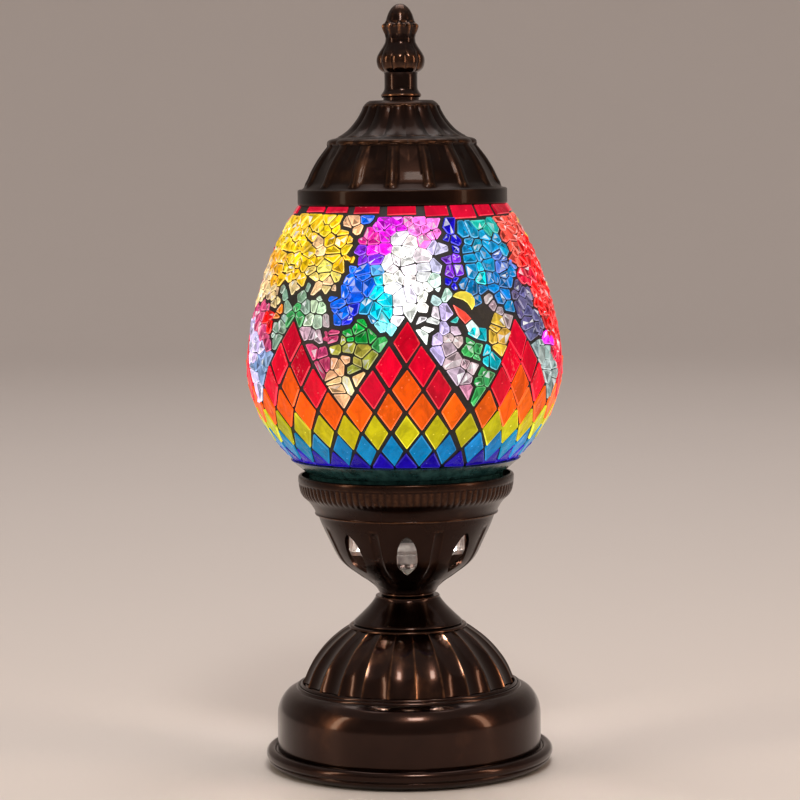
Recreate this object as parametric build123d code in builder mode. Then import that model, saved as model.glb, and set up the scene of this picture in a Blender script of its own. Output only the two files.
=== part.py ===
from build123d import *
import os
from math import atan2, cos, degrees, pi, radians, sin, sqrt

# Mosaic glass table lamp. Millimetres, +Z up, the origin at the middle of the
# underside, -Y the front. Every piece is a solid of revolution round the Z axis
# unless its comment says otherwise.

# ------------------------------------------------------------- driving dimensions
clearance = 0.2             # loose fit between pieces that only locate each other
thread_gap = 0.05           # radial gap of threads and running fits, drawn smooth

# foot and drum
foot_reach = 4.8            # foot ring beyond the drum's wall
foot_height = 8.4
foot_lift = 0.6             # underside of the foot ring above the table
felt_thickness = 1.2
cover_thickness = 1.2
drum_radius = 55.0
drum_top = 33.6             # height of the deck that carries the dome
drum_wall_top = 22.6        # where the upright wall turns into the shoulder
drum_wall = 1.2
weight_thickness = 7.4
screw_radius = 1.5
screw_circle = 40.0
screw_length = 16.0

# cable outlet at the back of the drum
grommet_bore = 3.0
grommet_wall = 1.0
grommet_flange = 1.0
grommet_height = 14.0

# dome, neck and collar
dome_radius = 44.0
dome_height = 25.6
dome_top_radius = 23.8
dome_wall = 2.4
flute_count = 24
flute_depth = 0.13          # share of a flute's own width
neck_radius = 22.6
neck_top_radius = 13.4
neck_height = 12.0
collar_radius = 11.1
collar_height = 1.6

# pierced cup
cup_foot_radius = 12.0
cup_bowl_radius = 36.5
cup_bowl_height = 32.4
cup_rim_radius = 44.8
cup_cove_height = 11.6
cup_rim_height = 5.2
cup_wall = 1.4
window_count = 8
window_width = 8.4
window_height = 17.6
window_lift = 8.0           # lowest point of a piercing above the cup's foot
ledge_depth = 3.6           # ledge inside the rim that carries the glass

# stem and nuts
stem_radius = 5.0
stem_bore = 3.6
stem_foot = 8.4
nut_width = 14.0
nut_height = 3.8
washer_radius = 10.0
washer_thickness = 1.2

# harp: saddle, two rods, bridge and stud
saddle_rise = 15.6          # saddle above the foot of the cup
saddle_reach = 25.0
saddle_width = 12.0
saddle_thickness = 1.6
rod_radius = 1.6
rod_offset = 22.4
bridge_width = 9.0
bridge_thickness = 2.0
stud_radius = 2.4

# lamp holder and bulb (small screw cap, 14 mm)
holder_radius = 13.4
holder_height = 56.0
holder_wall = 1.2
core_radius = 11.6
bulb_cap_radius = 6.9
bulb_cap_height = 17.0
bulb_radius = 17.5
bulb_length = 98.0
shell_wall = 0.4

# glass shade: outer surface over the tiles
shade_radius = 65.2
shade_waist = 51.8          # widest place above the glass seat
shade_lower_reach = 58.8    # height scales of the egg below and above its waist
shade_upper_reach = 94.7
shade_height = 122.0        # glass alone, from seat to top edge
glass_wall = 2.2
grout_thickness = 1.0
tile_thickness = 1.6
lip_inset = 4.0             # glass lip inside the cup's rim wall
gasket_thickness = 1.4
tile_start = 14.2           # first tile row above the glass seat
tile_end = 117.0            # top of the rim tiles above the glass seat
peak_count = 8
tiles_per_peak = 4
tile_gap = 1.8
row_pitch = 9.3
rim_tile_count = 24
rim_tile_height = 5.4

# cap
cap_rim_radius = 43.2
cap_rim_height = 6.4
cap_overlap = 4.0           # how far the rim hangs below the top of the glass
cap_wall = 1.5
cap_lobe_count = 16
cap_height = 42.5
cap_plateau_radius = 12.6

# finial
finial_foot_radius = 8.4
finial_stem_radius = 7.0
finial_bulb_radius = 9.9
finial_height = 39.6
finial_bore_depth = 17.0

# ------------------------------------------------------------- stack of heights
foot_radius = drum_radius + foot_reach
cover_bottom = felt_thickness
cover_top = cover_bottom + cover_thickness
drum_bottom = foot_height - 1.2
weight_top = drum_wall_top - 1.0
weight_bottom = weight_top - weight_thickness
dome_top = drum_top + dome_height
neck_top = dome_top + neck_height
cup_foot = neck_top + collar_height
bowl_top = cup_foot + cup_bowl_height
cove_top = bowl_top + cup_cove_height
cup_top = cove_top + cup_rim_height
ledge_top = cove_top - 2.6
glass_foot = ledge_top + gasket_thickness
glass_top = glass_foot + shade_height
cap_bottom = glass_top - cap_overlap
cap_seat = glass_top + gasket_thickness
cap_step = cap_bottom + cap_rim_height
cap_top = cap_bottom + cap_height
saddle_bottom = cup_foot + saddle_rise
saddle_top = saddle_bottom + saddle_thickness
holder_foot = saddle_top + nut_height
holder_top = holder_foot + holder_height
bulb_foot = holder_top - 24.0
bulb_crown = bulb_foot + bulb_length
bridge_bottom = cap_step + 10.4
bridge_top = bridge_bottom + bridge_thickness
finial_base = cap_top + washer_thickness
stem_top = holder_foot + 6.0

os.makedirs("parts", exist_ok=True)


# ------------------------------------------------------------- helpers
def stretch(shape, low, high):
    """Place a unit outline between two (radius, height) corners."""
    return [
        (low[0] + (high[0] - low[0]) * u, low[1] + (high[1] - low[1]) * v)
        for u, v in shape
    ]


def inset(points, wall):
    """The same outline one wall further in, with its ends cut level."""
    moved = []
    for i, (r, z) in enumerate(points):
        before = points[max(i - 1, 0)]
        after = points[min(i + 1, len(points) - 1)]
        run = after[0] - before[0]
        rise = after[1] - before[1]
        length = sqrt(run * run + rise * rise)
        if i in (0, len(points) - 1):
            moved.append((r - wall * length / rise, z))
        else:
            moved.append((r - wall * rise / length, z + wall * run / length))
    return moved


def polar(radius, angle):
    """Point in plan, the angle in degrees from the front, turning to the right."""
    return (radius * sin(radians(angle)), -radius * cos(radians(angle)))


def facing(angle, radius, height):
    """Upright plane that looks straight out at an angle round the lamp."""
    x, y = polar(radius, angle)
    return Plane(
        origin=(x, y, height),
        x_dir=(cos(radians(angle)), sin(radians(angle)), 0),
        z_dir=(sin(radians(angle)), -cos(radians(angle)), 0),
    )


def scalloped(radius, depth, count, height):
    """Closed outline of concave arcs that meet in crisp edges."""
    step = 360 / count
    with BuildSketch(Plane.XY.offset(height)) as outline:
        with BuildLine():
            for i in range(count):
                ThreePointArc(
                    polar(radius, i * step),
                    polar(radius - depth, (i + 0.5) * step),
                    polar(radius, (i + 1) * step),
                )
        make_face()
    return outline.sketch


def hex_nuts(heights):
    """M10 nuts on the stem, one at each height."""
    with BuildPart() as nuts:
        for height in heights:
            with BuildSketch(Plane.XY.offset(height)):
                RegularPolygon(nut_width / 2, 6, major_radius=False)
                Circle(stem_radius + thread_gap, mode=Mode.SUBTRACT)
            extrude(amount=nut_height)
    return nuts.part


def flat_rings(outer, inner, spans):
    """Flat rings that each fill a span of heights."""
    with BuildPart() as rings:
        for bottom, top in spans:
            with BuildSketch(Plane.XY.offset(bottom)):
                Circle(outer)
                Circle(inner, mode=Mode.SUBTRACT)
            extrude(amount=top - bottom)
    return rings.part


def write(piece, label):
    piece.label = label
    export_step(piece, "parts/" + label + ".step")


# ------------------------------------------------------------- underside
with BuildPart() as felt_pad:
    with BuildSketch():
        Circle(drum_radius - 4.0)
    extrude(amount=felt_thickness)
write(felt_pad.part, "felt_pad")

screw_spots = [polar(screw_circle, angle) for angle in (60, 180, 300)]
screw_head = 2 * screw_radius

with BuildPart() as bottom_cover:
    with BuildSketch(Plane.XY.offset(cover_bottom)):
        Circle(drum_radius - 2.4)
        with Locations(*screw_spots):
            Circle(screw_head + clearance, mode=Mode.SUBTRACT)
    extrude(amount=cover_thickness)
write(bottom_cover.part, "bottom_cover")

# pan heads lie in the cover's holes on their own rims and the shanks run up
# into the cast weight
with BuildPart() as cover_screws:
    with BuildSketch(Plane.XY.offset(cover_bottom)):
        with Locations(*screw_spots):
            Circle(screw_head)
    extrude(amount=cover_thickness)
    with BuildSketch(Plane.XY.offset(cover_top)):
        with Locations(*screw_spots):
            Circle(screw_radius)
    extrude(amount=screw_length)
write(cover_screws.part, "cover_screws")

with BuildPart() as base_weight:
    with BuildSketch(Plane.XY.offset(weight_bottom)):
        Circle(drum_radius - drum_wall - clearance)
        Circle(stem_radius + clearance, mode=Mode.SUBTRACT)
        with Locations(*screw_spots):
            Circle(screw_radius + thread_gap, mode=Mode.SUBTRACT)
        with Locations((0, drum_radius - 6.0)):
            Rectangle(4 * (grommet_bore + grommet_wall), 12.0, mode=Mode.SUBTRACT)
    extrude(amount=weight_thickness)
write(base_weight.part, "base_weight")

# ------------------------------------------------------------- foot and drum
ring_inner = drum_radius - 5.0
groove_radius = drum_radius + 0.9
with BuildPart() as foot_ring:
    with BuildSketch(Plane.XZ):
        with BuildLine():
            Polyline(
                (groove_radius, drum_bottom),
                (ring_inner, drum_bottom),
                (ring_inner, cover_top),
                (drum_radius - 2.2, cover_top),
                (drum_radius - 2.2, foot_lift),
                (foot_radius - 4.6, foot_lift),
                (foot_radius - 1.6, foot_lift + 1.6),
            )
            ThreePointArc(
                (foot_radius - 1.6, foot_lift + 1.6),
                (foot_radius, (foot_height + foot_lift + 1.6) / 2),
                (groove_radius + 1.4, foot_height),
            )
            Line((groove_radius + 1.4, foot_height), (groove_radius, drum_bottom))
        make_face()
    revolve(axis=Axis.Z)
write(foot_ring.part, "foot_ring")

# the drum's shoulder ends in a deck with two fine beads round the dome
shoulder_end = dome_radius + 1.8
shoulder_mid = (drum_radius - 2.6, drum_wall_top + 0.63 * (drum_top - drum_wall_top))
with BuildPart() as base_drum:
    with BuildSketch(Plane.XZ):
        with BuildLine():
            Line((drum_radius, drum_bottom), (drum_radius, drum_wall_top))
            ThreePointArc(
                (drum_radius, drum_wall_top),
                shoulder_mid,
                (shoulder_end, drum_top - 0.6),
            )
            Polyline(
                (shoulder_end, drum_top - 0.6),
                (shoulder_end, drum_top),
                (stem_radius + clearance, drum_top),
                (stem_radius + clearance, drum_top - drum_wall),
                (shoulder_end - 1.0, drum_top - drum_wall),
            )
            ThreePointArc(
                (shoulder_end - 1.0, drum_top - drum_wall),
                (shoulder_mid[0] - 1.0, shoulder_mid[1] - 1.0),
                (drum_radius - drum_wall, drum_wall_top - 0.4),
            )
            Polyline(
                (drum_radius - drum_wall, drum_wall_top - 0.4),
                (drum_radius - drum_wall, drum_bottom),
                (drum_radius, drum_bottom),
            )
        make_face()
    revolve(axis=Axis.Z)
    with BuildSketch(facing(180, drum_radius - 8.0, grommet_height)):
        Circle(grommet_bore + grommet_wall)
    extrude(amount=16.0, mode=Mode.SUBTRACT)
write(base_drum.part, "base_drum")

# rubber bush: a flange on each side of the wall and a sleeve through it
grommet_start = drum_radius - drum_wall - 2 * grommet_flange
with BuildPart() as cord_grommet:
    with BuildSketch(facing(180, grommet_start, grommet_height)):
        Circle(grommet_bore + grommet_wall - clearance / 4)
    extrude(amount=2 * grommet_flange + drum_wall + 1.4 * grommet_flange)
    with BuildSketch(facing(180, drum_radius + clearance, grommet_height)):
        Circle(grommet_bore + 1.9 * grommet_wall)
    extrude(amount=grommet_flange)
    with BuildSketch(facing(180, grommet_start, grommet_height)):
        Circle(grommet_bore + 1.9 * grommet_wall)
    extrude(amount=grommet_flange)
    with BuildSketch(facing(180, grommet_start, grommet_height)):
        Circle(grommet_bore)
    extrude(amount=4 * (grommet_flange + drum_wall), mode=Mode.SUBTRACT)
write(cord_grommet.part, "cord_grommet")

# ------------------------------------------------------------- fluted dome
dome_shape = [(0, 0), (0.18, 0.31), (0.4, 0.57), (0.6, 0.76), (0.78, 0.9), (1, 1)]
dome_foot = (dome_radius, drum_top + 1.6)
dome_crown = (dome_top_radius + 1.4, dome_top - 1.4)
dome_curve = stretch(dome_shape, dome_foot, dome_crown)
flute_width = 2 * pi / flute_count
with BuildPart() as fluted_dome:
    with BuildSketch(Plane.XY.offset(drum_top)):
        Circle(dome_radius + 1.0)
    extrude(amount=1.6)
    loft(
        sections=[
            scalloped(r, r * flute_width * flute_depth, flute_count, z)
            for r, z in dome_curve
        ]
    )
    with BuildSketch(Plane.XY.offset(dome_top - 1.4)):
        Circle(dome_top_radius + 0.8)
    extrude(amount=1.4)
    hollow = stretch(
        dome_shape,
        (dome_radius - dome_wall, drum_top),
        (dome_top_radius - dome_wall, dome_top - 2.2),
    )
    with BuildSketch(Plane.XZ):
        with BuildLine():
            Spline(*hollow)
            Polyline(hollow[-1], (0, hollow[-1][1]), (0, drum_top), hollow[0])
        make_face()
    revolve(axis=Axis.Z, mode=Mode.SUBTRACT)
    with BuildSketch(Plane.XY.offset(drum_top)):
        Circle(stem_radius + clearance)
    extrude(amount=dome_height, mode=Mode.SUBTRACT)
write(fluted_dome.part, "fluted_dome")

# ------------------------------------------------------------- neck and collar
neck_shape = [(0, 0), (0.3, 0.26), (0.66, 0.58), (0.86, 0.8), (1, 1)]
neck_curve = stretch(
    neck_shape, (neck_radius, dome_top + 1.0), (neck_top_radius, neck_top - 0.8)
)
neck_inside = stretch(
    neck_shape,
    (neck_radius - 3.4, dome_top),
    (neck_top_radius - 2.4, neck_top - 2.0),
)
with BuildPart() as bell_neck:
    with BuildSketch(Plane.XZ):
        with BuildLine():
            Spline(*neck_curve)
            Polyline(
                neck_curve[-1],
                (neck_top_radius, neck_top),
                (stem_radius + clearance, neck_top),
                (stem_radius + clearance, neck_inside[-1][1]),
                neck_inside[-1],
            )
            Spline(*reversed(neck_inside))
            Polyline(
                neck_inside[0],
                (neck_radius, dome_top),
                neck_curve[0],
            )
        make_face()
    revolve(axis=Axis.Z)
write(bell_neck.part, "bell_neck")

with BuildPart() as neck_collar:
    with BuildSketch(Plane.XY.offset(neck_top)):
        Circle(collar_radius)
        Circle(stem_radius + clearance, mode=Mode.SUBTRACT)
    extrude(amount=collar_height)
    fillet(neck_collar.edges().filter_by(GeomType.CIRCLE).sort_by(SortBy.LENGTH)[-2:], 0.5)
write(neck_collar.part, "neck_collar")

# ------------------------------------------------------------- pierced cup
bowl_shape = [(0, 0), (0.13, 0.123), (0.33, 0.225), (0.64, 0.418), (0.84, 0.702), (1, 1)]
bowl_curve = stretch(bowl_shape, (cup_foot_radius, cup_foot), (cup_bowl_radius, bowl_top))
bowl_inside = inset(bowl_curve, cup_wall)[1:]
bowl_inside[-1] = (cup_bowl_radius - 1.5 * cup_wall, bowl_top)
cup_inner_radius = cup_rim_radius - cup_wall
ledge_outer = cup_inner_radius - 2.0
ledge_inner = ledge_outer - ledge_depth - 1.4
cove_foot = (cup_bowl_radius + 0.5, bowl_top + 0.8)
window_shape = [(0, 0), (0.36, 0.12), (0.5, 0.24), (0.5, 0.6), (0.3, 0.8), (0, 1)]
with BuildPart() as gallery_cup:
    with BuildSketch(Plane.XZ):
        with BuildLine():
            Spline(*bowl_curve)
            Polyline(
                bowl_curve[-1],
                cove_foot,
                (cup_rim_radius - 0.7, cove_top - 0.6),
                (cup_rim_radius, cove_top),
                (cup_rim_radius, cup_top - 0.5),
                (cup_rim_radius - 0.5, cup_top),
                (cup_inner_radius, cup_top),
                (cup_inner_radius, cove_top),
                (ledge_outer, ledge_top),
                (ledge_inner, ledge_top),
                (ledge_inner, ledge_top - 1.6),
                bowl_inside[-1],
            )
            Spline(*reversed(bowl_inside))
            Polyline(
                bowl_inside[0],
                (stem_radius + clearance, bowl_inside[0][1]),
                (stem_radius + clearance, cup_foot),
                bowl_curve[0],
            )
        make_face()
    revolve(axis=Axis.Z)
    window_planes = [
        facing(i * 360 / window_count, cup_foot_radius, cup_foot + window_lift)
        for i in range(window_count)
    ]
    with BuildSketch(*window_planes):
        with BuildLine():
            Spline(*[(u * window_width, v * window_height) for u, v in window_shape])
            Spline(*[(-u * window_width, v * window_height) for u, v in window_shape])
        make_face()
    extrude(amount=cup_rim_radius, mode=Mode.SUBTRACT)
write(gallery_cup.part, "gallery_cup")

write(
    flat_rings(ledge_outer - 2 * clearance, ledge_inner, [(ledge_top, glass_foot)]),
    "glass_gasket",
)

# ------------------------------------------------------------- stem, nuts, washers
with BuildPart() as stem_tube:
    with BuildSketch(Plane.XY.offset(stem_foot)):
        Circle(stem_radius)
        Circle(stem_bore, mode=Mode.SUBTRACT)
    extrude(amount=stem_top - stem_foot)
write(stem_tube.part, "stem_tube")

cup_floor = bowl_inside[0][1]
stem_spans = [
    (weight_bottom - washer_thickness, weight_bottom),
    (cup_floor, cup_floor + washer_thickness),
]
write(flat_rings(washer_radius, stem_radius + thread_gap, stem_spans), "stem_washers")
write(
    hex_nuts([weight_bottom - washer_thickness - nut_height, cup_floor + washer_thickness]),
    "stem_nuts",
)
write(hex_nuts([saddle_bottom - nut_height, saddle_top]), "saddle_nuts")

# ------------------------------------------------------------- harp
with BuildPart() as harp_saddle:
    with BuildSketch(Plane.XY.offset(saddle_bottom)):
        SlotOverall(2 * saddle_reach, saddle_width)
        Circle(stem_radius + clearance, mode=Mode.SUBTRACT)
        with Locations((rod_offset, 0), (-rod_offset, 0)):
            Circle(rod_radius + thread_gap, mode=Mode.SUBTRACT)
    extrude(amount=saddle_thickness)
write(harp_saddle.part, "harp_saddle")

with BuildPart() as harp_rods:
    with BuildSketch(Plane.XY.offset(saddle_bottom)):
        with Locations((rod_offset, 0), (-rod_offset, 0)):
            Circle(rod_radius)
    extrude(amount=bridge_top - saddle_bottom)
write(harp_rods.part, "harp_rods")

with BuildPart() as harp_bridge:
    with BuildSketch(Plane.XY.offset(bridge_bottom)):
        SlotOverall(2 * (rod_offset + 3 * rod_radius), bridge_width)
        Circle(stud_radius + thread_gap, mode=Mode.SUBTRACT)
        with Locations((rod_offset, 0), (-rod_offset, 0)):
            Circle(rod_radius + thread_gap, mode=Mode.SUBTRACT)
    extrude(amount=bridge_thickness)
write(harp_bridge.part, "harp_bridge")

stud_top = finial_base + finial_bore_depth - 1.0
stud_nut_height = 3.0
with BuildPart() as finial_stud:
    with BuildSketch(Plane.XY.offset(bridge_bottom - stud_nut_height - 1.0)):
        Circle(stud_radius)
    extrude(amount=stud_top - bridge_bottom + stud_nut_height + 1.0)
write(finial_stud.part, "finial_stud")

with BuildPart() as stud_nuts:
    for height in (bridge_bottom - stud_nut_height, bridge_top):
        with BuildSketch(Plane.XY.offset(height)):
            RegularPolygon(1.7 * stud_radius, 6, major_radius=False)
            Circle(stud_radius + thread_gap, mode=Mode.SUBTRACT)
        extrude(amount=stud_nut_height)
write(stud_nuts.part, "stud_nuts")

# ------------------------------------------------------------- lamp holder
holder_split = holder_foot + 14.0
shell_radius = bulb_cap_radius + 0.1
well_floor = bulb_foot - 4.0
with BuildPart() as holder_base:
    with BuildSketch(Plane.XZ):
        with BuildLine():
            Polyline(
                (stem_radius + thread_gap, holder_foot),
                (stem_radius + 3.0, holder_foot),
                (stem_radius + 3.6, holder_foot + 3.0),
            )
            ThreePointArc(
                (stem_radius + 3.6, holder_foot + 3.0),
                (holder_radius - 1.3, holder_foot + 5.0),
                (holder_radius, holder_foot + 9.0),
            )
            Polyline(
                (holder_radius, holder_foot + 9.0),
                (holder_radius, holder_split),
                (holder_radius - holder_wall, holder_split),
                (holder_radius - holder_wall, stem_top + 1.5),
                (stem_radius + thread_gap, stem_top + 1.5),
                (stem_radius + thread_gap, holder_foot),
            )
        make_face()
    revolve(axis=Axis.Z)
write(holder_base.part, "holder_base")

with BuildPart() as holder_sleeve:
    with BuildSketch(Plane.XZ):
        with BuildLine():
            Polyline(
                (holder_radius, holder_split),
                (holder_radius, holder_top - 1.0),
                (holder_radius - 1.0, holder_top),
                (shell_radius + 2.6, holder_top),
                (shell_radius + 2.6, holder_top - 2.0),
                (holder_radius - holder_wall, holder_top - 3.2),
                (holder_radius - holder_wall, holder_split),
                (holder_radius, holder_split),
            )
        make_face()
    revolve(axis=Axis.Z)
write(holder_sleeve.part, "holder_sleeve")

# ceramic core: a well for the screw shell, two terminal holes from below
terminal_spots = [(-8.2, 0), (8.2, 0)]
with BuildPart() as holder_core:
    with BuildSketch(Plane.XY.offset(holder_split)):
        Circle(core_radius)
    extrude(amount=holder_top - 4.0 - holder_split)
    with BuildSketch(Plane.XY.offset(well_floor)):
        Circle(shell_radius + shell_wall + thread_gap)
    extrude(amount=holder_height, mode=Mode.SUBTRACT)
    with BuildSketch(Plane.XY.offset(holder_split)):
        with Locations(*terminal_spots):
            Circle(1.8)
    extrude(amount=8.0, mode=Mode.SUBTRACT)
write(holder_core.part, "holder_core")

write(
    flat_rings(shell_radius + shell_wall, shell_radius, [(bulb_foot + 3.6, holder_top - 4.0)]),
    "holder_shell",
)

# sprung centre contact: a foot on the well's floor and a tongue under the tip
with BuildPart() as holder_contact:
    with BuildSketch(Plane.XY.offset(well_floor)):
        Rectangle(9.0, 3.4)
    extrude(amount=0.8)
    with BuildSketch(Plane.XY.offset(well_floor + 0.8)):
        with Locations((-3.6, 0)):
            Rectangle(0.8, 3.4)
    extrude(amount=2.4)
    with BuildSketch(Plane.XY.offset(well_floor + 3.2)):
        with Locations((-1.0, 0)):
            Rectangle(6.0, 3.4)
    extrude(amount=0.7)
write(holder_contact.part, "holder_contact")

with BuildPart() as holder_terminals:
    with BuildSketch(Plane.XY.offset(holder_split - 1.4)):
        with Locations(*terminal_spots):
            Circle(2.7)
    extrude(amount=1.4)
    with BuildSketch(Plane.XY.offset(holder_split)):
        with Locations(*terminal_spots):
            Circle(1.75)
    extrude(amount=7.0)
write(holder_terminals.part, "holder_terminals")

# ------------------------------------------------------------- bulb
tip_height = 1.2
insulator_height = 2.2
cap_foot = bulb_foot + tip_height + insulator_height
bulb_neck = cap_foot + bulb_cap_height
with BuildPart() as bulb_tip:
    with BuildSketch(Plane.XY.offset(bulb_foot)):
        Circle(2.4)
    extrude(amount=tip_height)
write(bulb_tip.part, "bulb_tip")

with BuildPart() as bulb_insulator:
    with BuildSketch(Plane.XY.offset(bulb_foot + tip_height)):
        Circle(3.2)
    with BuildSketch(Plane.XY.offset(cap_foot)):
        Circle(bulb_cap_radius - 0.6)
    loft()
write(bulb_insulator.part, "bulb_insulator")

write(
    flat_rings(bulb_cap_radius, bulb_cap_radius - shell_wall, [(cap_foot, bulb_neck)]),
    "bulb_cap",
)

# candle-shaped envelope; its neck is cemented inside the screw cap
flame_shape = [(0, 0), (0.6, 0.13), (1, 0.34), (0.93, 0.52), (0.62, 0.74), (0.26, 0.92)]
neck_inner = bulb_cap_radius - shell_wall - thread_gap
flame = stretch(flame_shape, (neck_inner, bulb_neck), (bulb_radius, bulb_crown))
flame_inside = [(r - 0.9, z) for r, z in flame]
with BuildPart() as bulb_glass:
    with BuildSketch(Plane.XZ):
        with BuildLine():
            Polyline((neck_inner - 0.9, bulb_neck - 6.0), (neck_inner, bulb_neck - 6.0), flame[0])
            Spline(*flame, (0, bulb_crown))
            Line((0, bulb_crown), (0, bulb_crown - 1.4))
            Spline((0, bulb_crown - 1.4), *reversed(flame_inside))
            Line(flame_inside[0], (neck_inner - 0.9, bulb_neck - 6.0))
        make_face()
    revolve(axis=Axis.Z)
write(bulb_glass.part, "bulb_glass")

mount_radius = 2.6
mount_top = bulb_neck + 22.0
with BuildPart() as bulb_mount:
    with BuildSketch(Plane.XY.offset(bulb_neck - 5.0)):
        Circle(neck_inner - 1.1)
    extrude(amount=2.0)
    with BuildSketch(Plane.XY.offset(bulb_neck - 3.0)):
        Circle(mount_radius)
    extrude(amount=mount_top - bulb_neck + 3.0)
write(bulb_mount.part, "bulb_mount")

# four upright filament sticks on top of the mount's arms
filament_spots = [(4.6, 4.6), (-4.6, 4.6), (-4.6, -4.6), (4.6, -4.6)]
with BuildPart() as bulb_filaments:
    with BuildSketch(Plane.XY.offset(mount_top)):
        with Locations(*filament_spots):
            Circle(1.1)
    extrude(amount=34.0)
    with BuildSketch(Plane.XY.offset(mount_top)):
        Rectangle(13.6, 1.0, rotation=45)
        Rectangle(13.6, 1.0, rotation=-45)
    extrude(amount=0.8)
write(bulb_filaments.part, "bulb_filaments")

# ------------------------------------------------------------- glass egg
waist_height = glass_foot + shade_waist


def egg_radius(height, depth=0.0):
    """Radius of the shade at a height, some depth inside the tiles' faces."""
    if height < waist_height:
        t = (waist_height - height) / shade_lower_reach
        return shade_radius * sqrt(1 - t ** 1.85) - depth
    t = (height - waist_height) / shade_upper_reach
    return shade_radius * sqrt(1 - t ** 1.6) - depth


def egg_slope(height):
    """Angle of the shade's outward normal above the horizontal, in degrees."""
    rise = 0.2
    run = egg_radius(height + rise) - egg_radius(height - rise)
    return degrees(atan2(-run, 2 * rise))


def egg_points(low, high, depth, count=12):
    """Points up the shade's outline, a depth inside the tiles' faces."""
    points = []
    for i in range(count):
        height = low + (high - low) * i / (count - 1)
        lean = radians(egg_slope(height))
        points.append(
            (egg_radius(height) - depth * cos(lean), height - depth * sin(lean))
        )
    return points


mosaic_depth = grout_thickness + tile_thickness
tile_foot = glass_foot + tile_start
tile_top = glass_foot + tile_end
glass_curve = egg_points(tile_foot - 3.0, glass_top - 5.6, mosaic_depth + clearance)
glass_inside = egg_points(
    tile_foot - 3.0, glass_top - 5.6, mosaic_depth + clearance + glass_wall
)
lip_radius = cup_inner_radius - lip_inset
cap_inner_rim = cap_rim_radius - cap_wall
top_lip_radius = cap_inner_rim - 2.5 * clearance
with BuildPart() as glass_globe:
    with BuildSketch(Plane.XZ):
        with BuildLine():
            Polyline((lip_radius, glass_foot), (lip_radius, tile_foot - 6.0), glass_curve[0])
            Spline(*glass_curve)
            Polyline(
                glass_curve[-1],
                (top_lip_radius, cap_bottom - 0.8),
                (top_lip_radius, glass_top),
                (top_lip_radius - glass_wall, glass_top),
                (top_lip_radius - glass_wall, cap_bottom - 0.8),
                glass_inside[-1],
            )
            Spline(*reversed(glass_inside))
            Polyline(
                glass_inside[0],
                (lip_radius - glass_wall, tile_foot - 6.0),
                (lip_radius - glass_wall, glass_foot),
                (lip_radius, glass_foot),
            )
        make_face()
    revolve(axis=Axis.Z)
write(glass_globe.part, "glass_globe")


def egg_band(low, high, outer_depth, inner_depth):
    """Ring of the shade's skin between two heights and two depths."""
    outside = egg_points(low, high, outer_depth)
    inside = egg_points(low, high, inner_depth)
    with BuildPart() as band:
        with BuildSketch(Plane.XZ):
            with BuildLine():
                Spline(*outside)
                Line(outside[-1], inside[-1])
                Spline(*reversed(inside))
                Line(inside[0], outside[0])
            make_face()
        revolve(axis=Axis.Z)
    return band.part


grout_layer = egg_band(tile_foot - 2.0, tile_top, tile_thickness, mosaic_depth)
write(grout_layer, "grout_layer")

# ------------------------------------------------------------- mosaic tiles
# flat tiles are laid tangent to the grout, so only their middles touch it
tile_count = peak_count * tiles_per_peak
tile_angle = 360 / tile_count


def climb(height, distance):
    """Height reached after a distance up the shade's curved side."""
    steps = 20
    for _ in range(steps):
        height += distance / steps * cos(radians(egg_slope(height)))
    return height


def tile_plane(angle, height):
    """Plane of a tile's back, tangent to the grout."""
    lean = radians(egg_slope(height))
    depth = tile_thickness - thread_gap
    x, y = polar(egg_radius(height) - depth * cos(lean), angle)
    return Plane(
        origin=(x, y, height - depth * sin(lean)),
        x_dir=(cos(radians(angle)), sin(radians(angle)), 0),
        z_dir=(
            cos(lean) * sin(radians(angle)),
            -cos(lean) * cos(radians(angle)),
            sin(lean),
        ),
    )


def lay_tiles(rows):
    """Tiles of one colour; a row is (height, angles, outline)."""
    with BuildPart() as tiles:
        for height, angles, outline in rows:
            with BuildSketch(*[tile_plane(angle, height) for angle in angles]):
                Polygon(*outline, align=None)
            extrude(amount=tile_thickness)
    return tiles.part


def diamond(height):
    """Diamond that fills its place in the lattice, less the grout."""
    half_width = pi * egg_radius(height) / tile_count - tile_gap / 1.5
    half_height = row_pitch - tile_gap / 1.3
    return [(half_width, 0), (0, half_height), (-half_width, 0), (0, -half_height)]


def triangle(height):
    """Half diamond with its flat base at the bottom."""
    right, top, left, _ = diamond(height)
    return [right, top, left]


row_height = [tile_foot]
for _ in range(6):
    row_height.append(climb(row_height[-1], row_pitch))

even = [i * tile_angle for i in range(tile_count)]
odd = [(i + 0.5) * tile_angle for i in range(tile_count)]
peaks = [i * 360 / peak_count for i in range(peak_count)]


def beside(offsets):
    """Angles at these offsets, in tiles, from every peak."""
    return [peak + offset * tile_angle for peak in peaks for offset in offsets]


lattice = {
    "cobalt_tiles": [(row_height[0], even, triangle(row_height[0]))],
    "turquoise_tiles": [(row_height[1], odd, diamond(row_height[1]))],
    "yellow_tiles": [(row_height[2], even, diamond(row_height[2]))],
    "orange_tiles": [
        (row_height[3], odd, diamond(row_height[3])),
        (row_height[4], beside([0]), diamond(row_height[4])),
    ],
    "red_tiles": [
        (row_height[4], beside([-1, 1]), diamond(row_height[4])),
        (row_height[5], beside([-0.5, 0.5]), diamond(row_height[5])),
        (row_height[6], beside([0]), diamond(row_height[6])),
    ],
}
for label, rows in lattice.items():
    write(lay_tiles(rows), label)

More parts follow.
